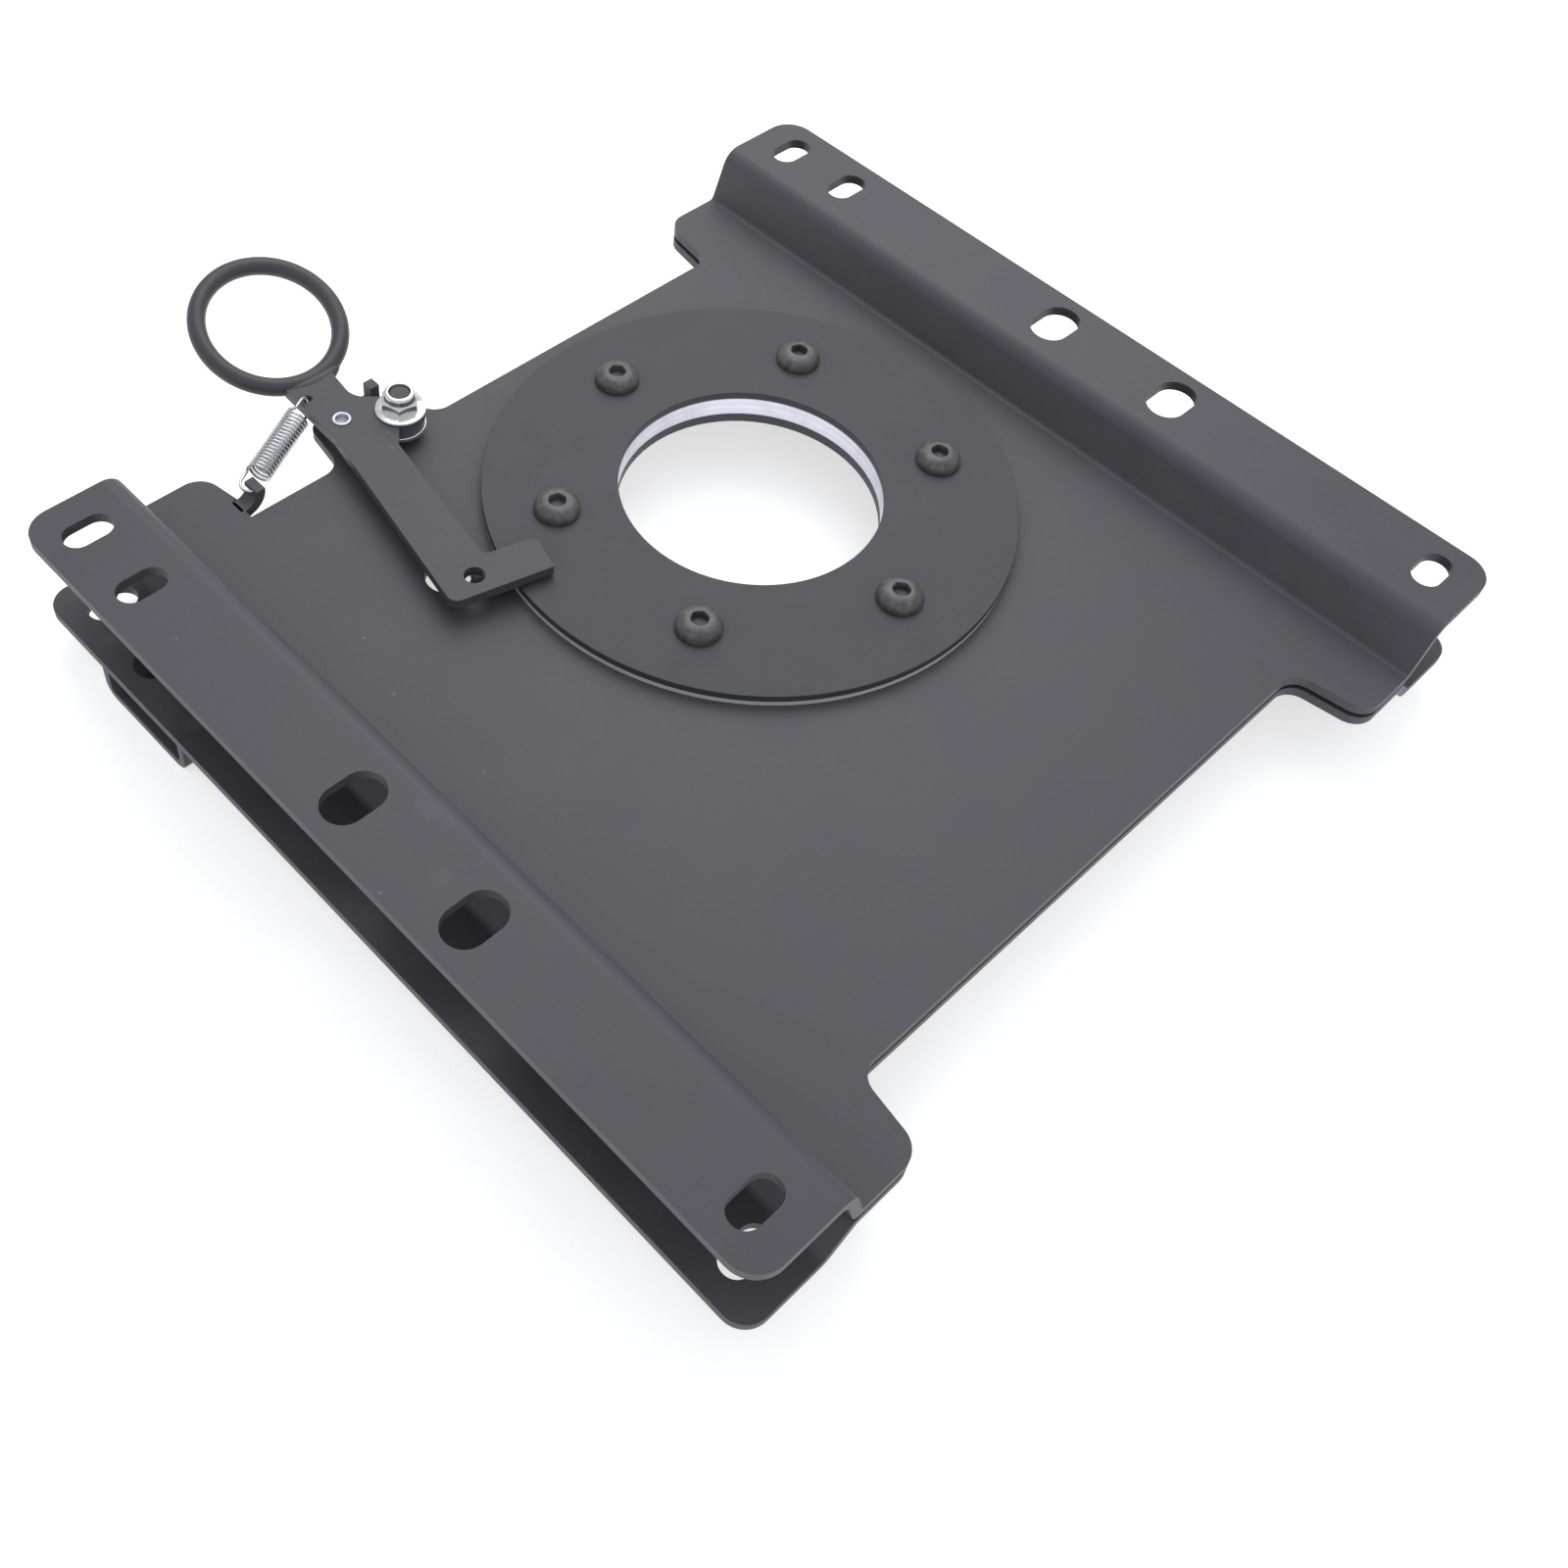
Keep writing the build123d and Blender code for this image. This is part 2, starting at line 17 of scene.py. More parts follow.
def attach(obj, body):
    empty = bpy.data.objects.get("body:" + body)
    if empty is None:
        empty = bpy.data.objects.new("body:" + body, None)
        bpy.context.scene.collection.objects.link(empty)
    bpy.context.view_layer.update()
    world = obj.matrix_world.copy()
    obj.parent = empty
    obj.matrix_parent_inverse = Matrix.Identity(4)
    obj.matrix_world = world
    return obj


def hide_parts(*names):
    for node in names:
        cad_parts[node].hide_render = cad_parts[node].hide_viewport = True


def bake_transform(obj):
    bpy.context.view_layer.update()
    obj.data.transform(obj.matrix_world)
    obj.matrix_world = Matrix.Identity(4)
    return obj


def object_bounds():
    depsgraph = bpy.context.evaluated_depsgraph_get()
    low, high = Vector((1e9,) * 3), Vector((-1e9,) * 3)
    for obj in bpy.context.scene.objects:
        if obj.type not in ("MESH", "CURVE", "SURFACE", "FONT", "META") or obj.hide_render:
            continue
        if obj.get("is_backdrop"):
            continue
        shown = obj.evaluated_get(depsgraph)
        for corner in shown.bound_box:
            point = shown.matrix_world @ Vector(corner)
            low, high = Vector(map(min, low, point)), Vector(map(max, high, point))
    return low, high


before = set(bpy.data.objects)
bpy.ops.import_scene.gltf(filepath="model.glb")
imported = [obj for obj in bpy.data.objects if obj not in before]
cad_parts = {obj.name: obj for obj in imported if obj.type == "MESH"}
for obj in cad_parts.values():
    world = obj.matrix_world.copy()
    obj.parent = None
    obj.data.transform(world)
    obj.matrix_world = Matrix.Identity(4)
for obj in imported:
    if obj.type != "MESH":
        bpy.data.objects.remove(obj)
LOG = logging.getLogger("swivel_base")
MM = 0.001

# Metres within which two corners are one, in new shapes and in CAD copies
SAME_SPOT = 1e-7
CAD_SPOT = 2e-6

# Degrees above which a corner stays sharp
TURNED_CORNER = 32.0
SHEET_CORNER = 38.0
WIRE_CORNER = 50.0
BAR_CORNER = 60.0

Colour = tuple[float, float, float]
Place = tuple[float, float, float]
Mark = tuple[float, float, float, float, float]
Corners = tuple[Vector, Vector]


class Body(str, Enum):
    """The three bodies that move against each other."""

    BASE = "base"
    SEAT = "seat_side"
    LEVER = "lever"


class Slot(str, Enum):
    """Material slots of the record."""

    COAT = "powder_coat"
    OXIDE = "black_oxide"
    HUB = "hub_aluminium"
    ZINC = "bright_zinc"


class NodeTree:
    """Adds nodes to one tree and joins them by name."""

    def __init__(self, tree: bpy.types.NodeTree) -> None:
        """Takes the tree that the nodes go into."""
        self.tree = tree

    def add(self, kind: str, **values: object) -> Node:
        """Adds a node.

        Args:
            kind: Node type without its "ShaderNode" prefix.
            **values: Attributes of the node by name.

        Returns:
            The new node.
        """
        name = kind if kind.startswith("NodeGroup") else "ShaderNode" + kind
        node = self.tree.nodes.new(name)
        for key, value in values.items():
            setattr(node, key, value)
        return node

    def join(self, source: NodeSocket, target: NodeSocket) -> None:
        """Links one socket to another."""
        self.tree.links.new(source, target)

    def math(self, operation: str, first: object, second: object = 0.0, clamp: bool = False) -> NodeSocket:
        """Adds a Math node whose inputs are sockets or plain numbers.

        Args:
            operation: Blender's name of the operation.
            first: Socket or number.
            second: Socket or number.
            clamp: Whether the result is held between 0 and 1.

        Returns:
            The result socket.
        """
        node = self.add("Math", operation=operation, use_clamp=clamp)
        for place, value in enumerate((first, second)):
            if isinstance(value, NodeSocket):
                self.join(value, node.inputs[place])
            else:
                node.inputs[place].default_value = float(value)
        return node.outputs[0]

    def ramp(self, value: NodeSocket, low: float, high: float) -> NodeSocket:
        """Maps a range of a value smoothly to 0..1.

        Args:
            value: Socket to map.
            low: Value that gives 0.
            high: Value that gives 1.

        Returns:
            The mapped socket.
        """
        node = self.add("MapRange", interpolation_type="SMOOTHSTEP")
        self.join(value, node.inputs["Value"])
        node.inputs["From Min"].default_value = low
        node.inputs["From Max"].default_value = high
        return node.outputs["Result"]

    def mix(self, factor: object, first: object, second: object) -> NodeSocket:
        """Mixes two colours.

        Args:
            factor: Share of the second colour, a socket or a number.
            first: Colour as a socket or three numbers.
            second: Colour as a socket or three numbers.

        Returns:
            The mixed colour's socket.
        """
        node = self.add("Mix", data_type="RGBA")
        for socket, value in ((node.inputs[0], factor), (node.inputs[6], first), (node.inputs[7], second)):
            if isinstance(value, NodeSocket):
                self.join(value, socket)
            elif isinstance(value, tuple):
                socket.default_value = (*value, 1.0)
            else:
                socket.default_value = value
        return node.outputs[2]

    def noise(self, vector: NodeSocket, scale: float, detail: float = 2.0, rough: float = 0.5) -> NodeSocket:
        """Adds a noise texture.

        Args:
            vector: Socket of its coordinates.
            scale: Number of waves in a metre, or in a unit of the vector.
            detail: Octaves of finer noise.
            rough: Strength of the finer octaves.

        Returns:
            The socket of its value.
        """
        node = self.add("TexNoise", noise_dimensions="3D")
        self.join(vector, node.inputs["Vector"])
        node.inputs["Scale"].default_value = scale
        node.inputs["Detail"].default_value = detail
        node.inputs["Roughness"].default_value = rough
        return node.outputs[0]


OpenGroup = tuple[bpy.types.NodeTree, NodeTree, Node, Node]


class EffectGroups:
    """Shader effects that several finishes share, each built once."""

    def __init__(self) -> None:
        """Builds the groups."""
        self.coat = self._coat_grain()
        self.scuffs = self._scuffs()
        self.turning = self._turning_lines()

    @staticmethod
    def _open(name: str, inputs: dict[str, tuple[str, float]], outputs: dict[str, str]) -> OpenGroup:
        """Makes an empty group with its sockets.

        Args:
            name: Name of the group.
            inputs: Socket type and default of each input.
            outputs: Socket type of each output.

        Returns:
            The group, its helper, and its input and output nodes.
        """
        group = bpy.data.node_groups.new(name, "ShaderNodeTree")
        for label, (kind, value) in inputs.items():
            socket = group.interface.new_socket(label, in_out="INPUT", socket_type=kind)
            if kind == "NodeSocketFloat":
                socket.default_value = value
        for label, kind in outputs.items():
            group.interface.new_socket(label, in_out="OUTPUT", socket_type=kind)
        tree = NodeTree(group)
        return group, tree, tree.add("NodeGroupInput"), tree.add("NodeGroupOutput")

    def _coat_grain(self) -> bpy.types.NodeTree:
        """Orange peel, fine flecks and slow mottling of a powder coat.

        Returns:
            The group.
        """
        group, tree, source, sink = self._open(
            "coat_grain",
            {"Vector": ("NodeSocketVector", 0.0), "Fleck": ("NodeSocketFloat", 0.5)},
            {"Height": "NodeSocketFloat", "Flecks": "NodeSocketFloat", "Mottle": "NodeSocketFloat"},
        )
        place = source.outputs["Vector"]
        peel = tree.noise(place, 1500.0, 2.0, 0.5)
        fine = tree.noise(place, 4200.0, 1.0, 0.5)
        height = tree.math("ADD", tree.math("MULTIPLY", peel, 0.7), tree.math("MULTIPLY", fine, 0.3))
        tree.join(height, sink.inputs["Height"])
        flecks = tree.ramp(tree.noise(place, 2600.0, 2.0, 0.6), 0.66, 0.78)
        tree.join(tree.math("MULTIPLY", flecks, source.outputs["Fleck"]), sink.inputs["Flecks"])
        mottle = tree.noise(place, 38.0, 4.0, 0.62)
        tree.join(tree.ramp(mottle, 0.3, 0.72), sink.inputs["Mottle"])
        return group

    def _scuffs(self) -> bpy.types.NodeTree:
        """Short rubbed marks and small chips.

        Returns:
            The group.
        """
        group, tree, source, sink = self._open(
            "scuffs",
            {"Vector": ("NodeSocketVector", 0.0), "Amount": ("NodeSocketFloat", 0.3)},
            {"Mask": "NodeSocketFloat"},
        )
        place = source.outputs["Vector"]
        stretch = tree.add("Mapping")
        stretch.inputs["Rotation"].default_value = (0.0, 0.0, 0.7)
        stretch.inputs["Scale"].default_value = (1.0, 9.0, 1.0)
        tree.join(place, stretch.inputs["Vector"])
        streaks = tree.ramp(tree.noise(stretch.outputs[0], 160.0, 3.0, 0.65), 0.62, 0.78)
        patches = tree.ramp(tree.noise(place, 55.0, 2.0, 0.5), 0.5, 0.75)
        chips = tree.ramp(tree.noise(place, 420.0, 2.0, 0.5), 0.7, 0.76)
        rubbed = tree.math("MULTIPLY", streaks, patches)
        both = tree.math("ADD", rubbed, tree.math("MULTIPLY", chips, 0.5), clamp=True)
        tree.join(tree.math("MULTIPLY", both, source.outputs["Amount"]), sink.inputs["Mask"])
        return group

    def _turning_lines(self) -> bpy.types.NodeTree:
        """Fine tool lines stacked along the turning axis.

        Returns:
            The group.
        """
        group, tree, source, sink = self._open(
            "turning_lines",
            {"Vector": ("NodeSocketVector", 0.0), "Pitch": ("NodeSocketFloat", 0.0004)},
            {"Height": "NodeSocketFloat", "Shade": "NodeSocketFloat"},
        )
        parts = tree.add("SeparateXYZ")
        tree.join(source.outputs["Vector"], parts.inputs[0])
        line = tree.math("DIVIDE", parts.outputs["Z"], source.outputs["Pitch"])
        vector = tree.add("CombineXYZ")
        tree.join(line, vector.inputs["X"])
        lines = tree.noise(vector.outputs[0], 1.0, 3.0, 0.6)
        tree.join(lines, sink.inputs["Height"])
        slow = tree.add("CombineXYZ")
        tree.join(tree.math("MULTIPLY", line, 0.12), slow.inputs["X"])
        tree.join(tree.noise(slow.outputs[0], 1.0, 2.0, 0.5), sink.inputs["Shade"])
        return group


@dataclass(frozen=True)
class Finish:
    """Settings every finish has."""

    name: str
    base: Colour
    roughness: float
    metallic: float = 0.0

    def start(self) -> tuple[Material, NodeTree, Node, NodeSocket]:
        """Makes the material with its shader.

        Returns:
            The material, its helper, the shader and the object coordinates.
        """
        material = bpy.data.materials.new(self.name)
        material.use_nodes = True
        material.diffuse_color = (*self.base, 1.0)
        tree = NodeTree(material.node_tree)
        shader = material.node_tree.nodes["Principled BSDF"]
        shader.inputs["Metallic"].default_value = self.metallic
        place = tree.add("TexCoord").outputs["Object"]
        return material, tree, shader, place

    @staticmethod
    def bump(tree: NodeTree, shader: Node, height: NodeSocket, depth: float) -> None:
        """Puts a height on the shader's normal.

        Args:
            tree: Helper of the material.
            shader: Shader that gets the normal.
            height: Height from 0 to 1.
            depth: Real depth of a height of 1, in metres.
        """
        node = tree.add("Bump")
        node.inputs["Distance"].default_value = depth
        node.inputs["Strength"].default_value = 1.0
        tree.join(height, node.inputs["Height"])
        tree.join(node.outputs[0], shader.inputs["Normal"])

    @staticmethod
    def effect(tree: NodeTree, group: bpy.types.NodeTree, place: NodeSocket, **values: float) -> Node:
        """Places a shared effect with this finish's own values.

        Args:
            tree: Helper of the material.
            group: The shared effect.
            place: Object coordinates.
            **values: The effect's inputs by name.

        Returns:
            The effect's node.
        """
        node = tree.add("Group")
        node.node_tree = group
        tree.join(place, node.inputs["Vector"])
        for key, value in values.items():
            node.inputs[key].default_value = value
        return node

    @staticmethod
    def roughen(tree: NodeTree, shader: Node, cloud: NodeSocket, low: float, span: float) -> None:
        """Lets the roughness follow a cloudy value.

        Args:
            tree: Helper of the material.
            shader: Shader that gets the roughness.
            cloud: Value from 0 to 1.
            low: Roughness at 0.
            span: Added roughness at 1.
        """
        rough = tree.math("MULTIPLY_ADD", cloud, span)
        rough.node.inputs[2].default_value = low
        tree.join(rough, shader.inputs["Roughness"])


@dataclass(frozen=True)
class PowderCoat(Finish):
    """Satin powder coat with flecks, mottling and light rubs."""

    worn: Colour = (0.2, 0.2, 0.22)
    fleck: float = 0.2
    scuff: float = 0.12
    mottle: float = 0.05
    grain_depth: float = 0.000025
    marks: tuple[Mark, ...] = ()

    def build(self, effects: EffectGroups) -> Material:
        """Builds the material.

        Args:
            effects: The shared effects.

        Returns:
            The new material.
        """
        material, tree, shader, place = self.start()
        grain = self.effect(tree, effects.coat, place, Fleck=self.fleck)
        rubs = self.effect(tree, effects.scuffs, place, Amount=self.scuff)
        dark = tuple(c * (1.0 - self.mottle) for c in self.base)
        light = tuple(c * (1.0 + self.mottle) for c in self.base)
        tone = tree.mix(grain.outputs["Mottle"], dark, light)
        flecked = tree.mix(grain.outputs["Flecks"], tone, self.worn)
        tone = tree.mix(rubs.outputs["Mask"], flecked, self.worn)
        if self.marks:
            tone = tree.mix(self._marks(tree, place), tone, self.worn)
        tree.join(tone, shader.inputs["Base Color"])
        self.roughen(tree, shader, grain.outputs["Mottle"], self.roughness - 0.04, 0.08)
        shader.inputs["Specular IOR Level"].default_value = 0.4
        self.bump(tree, shader, grain.outputs["Height"], self.grain_depth)
        return material

    def _marks(self, tree: NodeTree, place: NodeSocket) -> NodeSocket:
        """Gathers the single pale marks, each with its place, radius and strength.

        Args:
            tree: Helper of the material.
            place: Object coordinates.

        Returns:
            Mask of all marks, broken up by noise.
        """
        total: object = 0.0
        for x, y, z, radius, strength in self.marks:
            spot = tree.add("VectorMath", operation="DISTANCE")
            tree.join(place, spot.inputs[0])
            spot.inputs[1].default_value = (x * MM, y * MM, z * MM)
            near = tree.ramp(spot.outputs["Value"], radius * MM, 0.2 * radius * MM)
            total = tree.math("ADD", tree.math("MULTIPLY", near, strength), total)
        broken = tree.ramp(tree.noise(place, 600.0, 3.0, 0.6), 0.2, 0.8)
        return tree.math("MULTIPLY", total, broken, clamp=True)


@dataclass(frozen=True)
class Oxide(Finish):
    """Blackened steel, rubbed grey where tools touch it."""

    rubbed: Colour = (0.3, 0.29, 0.28)
    scuff: float = 0.9

    def build(self, effects: EffectGroups) -> Material:
        """Builds the material.

        Args:
            effects: The shared effects.

        Returns:
            The new material.
        """
        material, tree, shader, place = self.start()
        rubs = self.effect(tree, effects.scuffs, place, Amount=self.scuff)
        cloud = tree.ramp(tree.noise(place, 260.0, 3.0, 0.6), 0.35, 0.75)
        tone = tree.mix(cloud, self.base, tuple(c * 1.7 for c in self.base))
        tree.join(tree.mix(rubs.outputs["Mask"], tone, self.rubbed), shader.inputs["Base Color"])
        self.roughen(tree, shader, cloud, self.roughness - 0.05, 0.14)
        self.bump(tree, shader, tree.noise(place, 1900.0, 2.0, 0.5), 0.00003)
        return material


@dataclass(frozen=True)
class TurnedMetal(Finish):
    """Turned metal with tool lines round the axis."""

    pitch: float = 0.0005
    dull: Colour = (0.6, 0.6, 0.69)

    def build(self, effects: EffectGroups) -> Material:
        """Builds the material.

        Args:
            effects: The shared effects.

        Returns:
            The new material.
        """
        material, tree, shader, place = self.start()
        lines = self.effect(tree, effects.turning, place, Pitch=self.pitch)
        patches = tree.noise(place, 70.0, 3.0, 0.55)
        tone = tree.mix(tree.ramp(lines.outputs["Shade"], 0.35, 0.65), self.base, self.dull)
        tree.join(tree.mix(tree.ramp(patches, 0.45, 0.8), tone, self.dull), shader.inputs["Base Color"])
        self.roughen(tree, shader, lines.outputs["Shade"], self.roughness - 0.1, 0.2)
        self.bump(tree, shader, lines.outputs["Height"], 0.00002)
        return material


@dataclass(frozen=True)
class Plated(Finish):
    """Bright zinc plate with faint cloudy spangle."""

    cloud: Colour = (0.8, 0.8, 0.82)
    rubbed: Colour = (0.4, 0.4, 0.41)
    scuff: float = 0.12

    def build(self, effects: EffectGroups) -> Material:
        """Builds the material.

        Args:
            effects: The shared effects.

        Returns:
            The new material.
        """
        material, tree, shader, place = self.start()
        clouds = tree.ramp(tree.noise(place, 330.0, 3.0, 0.6), 0.35, 0.75)
        rubs = self.effect(tree, effects.scuffs, place, Amount=self.scuff)
        tone = tree.mix(clouds, self.base, self.cloud)
        tree.join(tree.mix(rubs.outputs["Mask"], tone, self.rubbed), shader.inputs["Base Color"])
        self.roughen(tree, shader, clouds, self.roughness, 0.06)
        self.bump(tree, shader, tree.noise(place, 900.0, 2.0, 0.5), 0.000005)
        return material


@dataclass(frozen=True)
class SlipPlastic(Finish):
    """Low-friction plastic, slightly cloudy."""

    rubbed: Colour = (0.5, 0.5, 0.5)
    scuff: float = 0.4

    def build(self, effects: EffectGroups) -> Material:
        """Builds the material.

        Args:
            effects: The shared effects.

        Returns:
            The new material.
        """
        material, tree, shader, place = self.start()
        rubs = self.effect(tree, effects.scuffs, place, Amount=self.scuff)
        cloud = tree.noise(place, 90.0, 3.0, 0.5)
        tone = tree.mix(cloud, tuple(c * 0.93 for c in self.base), self.base)
        tree.join(tree.mix(rubs.outputs["Mask"], tone, self.rubbed), shader.inputs["Base Color"])
        shader.inputs["Roughness"].default_value = self.roughness
        self.bump(tree, shader, tree.noise(place, 1200.0, 2.0, 0.5), 0.00002)
        return material


@dataclass(frozen=True)
class Finishes:
    """Every finish on the object."""

    plate: PowderCoat = PowderCoat(
        "plate_coat", (0.092, 0.0895, 0.103), 0.5,
        marks=(
            (-157.7, -6.5, 42.6, 5.0, 0.3), (-158.6, -1.5, 42.6, 3.0, 0.35), (-156.4, -11.5, 42.6, 3.5, 0.3),
            (-170.3, -26.4, 42.6, 4.5, 0.25), (-187.3, -18.6, 42.6, 0.6, 3.0), (-121.7, 76.2, 21.0, 0.6, 3.0),
            (83.4, 113.4, 21.0, 0.6, 3.0), (-179.4, 144.8, 4.0, 4.5, 0.4), (-179.9, 95.4, 4.0, 5.0, 0.5),
            (-177.2, 99.5, 42.6, 0.6, 3.0), (-128.9, 50.5, 21.0, 0.6, 3.0), (-127.0, 6.5, 21.0, 0.5, 2.5),
        ),
    )
    # The retaining disc takes the plate coat made darker: painted shade for the dimmer reflection of its top.
    disc: PowderCoat = PowderCoat("disc_coat_painted_shade", (0.065, 0.063, 0.073), 0.5)
    lever: PowderCoat = PowderCoat(
        "lever_coat", (0.086, 0.084, 0.096), 0.48,
        marks=((-59.1, 141.3, 31.0, 1.2, 1.0), (-62.9, 134.0, 31.0, 1.4, 0.6)),
    )
    ring: PowderCoat = PowderCoat("ring_coat", (0.072, 0.071, 0.08), 0.4)
    screw: Oxide = Oxide("screw_oxide", (0.098, 0.096, 0.1), 0.42, 0.3)
    stud: Oxide = Oxide("stud_oxide", (0.085, 0.07, 0.073), 0.6, 0.0)
    sleeve: Oxide = Oxide("sleeve_oxide", (0.04, 0.04, 0.045), 0.5, 0.4)
    hub: TurnedMetal = TurnedMetal("hub_turned", (0.86, 0.86, 0.95), 0.36, 1.0)
    zinc: Plated = Plated("zinc_plate", (0.86, 0.86, 0.85), 0.18, 1.0)
    spring: Plated = Plated("spring_zinc", (0.7, 0.7, 0.72), 0.18, 1.0, (0.62, 0.62, 0.64))
    rivet: Plated = Plated("rivet_zinc", (0.66, 0.66, 0.71), 0.42, 1.0, (0.6, 0.6, 0.66))
    washer: SlipPlastic = SlipPlastic("washer_plastic", (0.72, 0.72, 0.72), 0.42)


@dataclass
class Materials:
    """The built material of each finish."""

    plate: Material
    disc: Material
    lever: Material
    ring: Material
    screw: Material
    stud: Material
    sleeve: Material
    hub: Material
    zinc: Material
    spring: Material
    rivet: Material
    washer: Material


def build_materials(finishes: Finishes, effects: EffectGroups) -> Materials:
    """Builds the material of every finish from the shared effects."""
    return Materials(**{item.name: getattr(finishes, item.name).build(effects) for item in fields(finishes)})


def dress(obj: Object, material: Material) -> None:
    """Gives an object one material in its first slot."""
    obj.data.materials.clear()
    obj.data.materials.append(material)


def edges_among(bm: BMesh, verts: list[BMVert]) -> list[BMEdge]:
    """Finds the edges that run between the given corners."""
    members = set(verts)
    return [e for e in bm.edges if e.verts[0] in members and e.verts[1] in members]


def corners_of(geometry: list[object]) -> list[BMVert]:
    """Picks the corners out of what an operator made."""
    return [part for part in geometry if isinstance(part, BMVert)]


def box_between(low: Vector, high: Vector) -> Matrix:
    """Gives the matrix that turns a unit cube into the box between two corners in millimetres."""
    return Matrix.Translation((low + high) / 2 * MM) @ Matrix.Diagonal((*((high - low) * MM), 1.0))


def round_corners(bm: BMesh, width: float) -> None:
    """Rounds the sharp edges of a shape.

    Args:
        bm: Shape to round.
        width: Width of the rounding in millimetres.
    """
    limit = math.radians(SHEET_CORNER)
    corners = [e for e in bm.edges if len(e.link_faces) == 2 and e.calc_face_angle(0.0) > limit]
    bmesh.ops.bevel(
        bm, geom=corners, offset=width * MM, offset_type="OFFSET", segments=2, profile=0.5,
        affect="EDGES", clamp_overlap=True, material=-1,
    )


def bend_bar(bm: BMesh, stand: Matrix, sides: int, radius: float, angle: float, steps: int) -> None:
    """Sweeps a round bar about the shape's own Z axis.

    Args:
        bm: Shape that gets the bar.
        stand: Place of the bar's first section, before it is stood upright.
        sides: Corners of the section.
        radius: Radius of the bar in millimetres.
        angle: Angle of the sweep in radians, where a whole turn closes on itself.
        steps: Number of short pieces.
    """
    upright = stand @ Matrix.Rotation(math.radians(90.0), 4, "X")
    made = bmesh.ops.create_circle(bm, cap_ends=False, segments=sides, radius=radius * MM, matrix=upright)
    bmesh.ops.spin(
        bm, geom=made["verts"] + list(bm.edges), cent=(0, 0, 0), axis=(0, 0, 1), dvec=(0, 0, 0),
        angle=angle, space=Matrix.Identity(4), steps=steps, use_merge=angle == math.tau,
        use_normal_flip=False, use_duplicate=False,
    )


def finish_mesh(bm: BMesh, name: str, material: Material, sharp: float = TURNED_CORNER) -> Object:
    """Turns a bmesh into an object with smooth faces and sharp corners.

    Args:
        bm: The finished shape, in metres in the shared frame.
        name: Name of the piece.
        material: Its material.
        sharp: Corners above this many degrees stay sharp.

    Returns:
        The new object, at the origin.
    """
    limit = math.radians(sharp)
    for edge in bm.edges:
        edge.smooth = len(edge.link_faces) == 2 and edge.calc_face_angle(0.0) < limit
    for face in bm.faces:
        face.smooth = True
    mesh = bpy.data.meshes.new(name)
    bm.to_mesh(mesh)
    bm.free()
    obj = bpy.data.objects.new(name, mesh)
    bpy.context.scene.collection.objects.link(obj)
    mesh.materials.append(material)
    return obj


def place_piece(obj: Object, body: Body, slot: Slot, *nodes: str) -> Object:
    """Rides a piece on its body and hides the nodes it stands for.

    Args:
        obj: The piece.
        body: Body that it moves with.
        slot: Not used.
        *nodes: CAD nodes that it replaces.

    Returns:
        The same piece.
    """
    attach(obj, body.value)
    if nodes:
        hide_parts(*nodes)
    LOG.info("%s rides on %s", obj.name, body.value)
    return obj


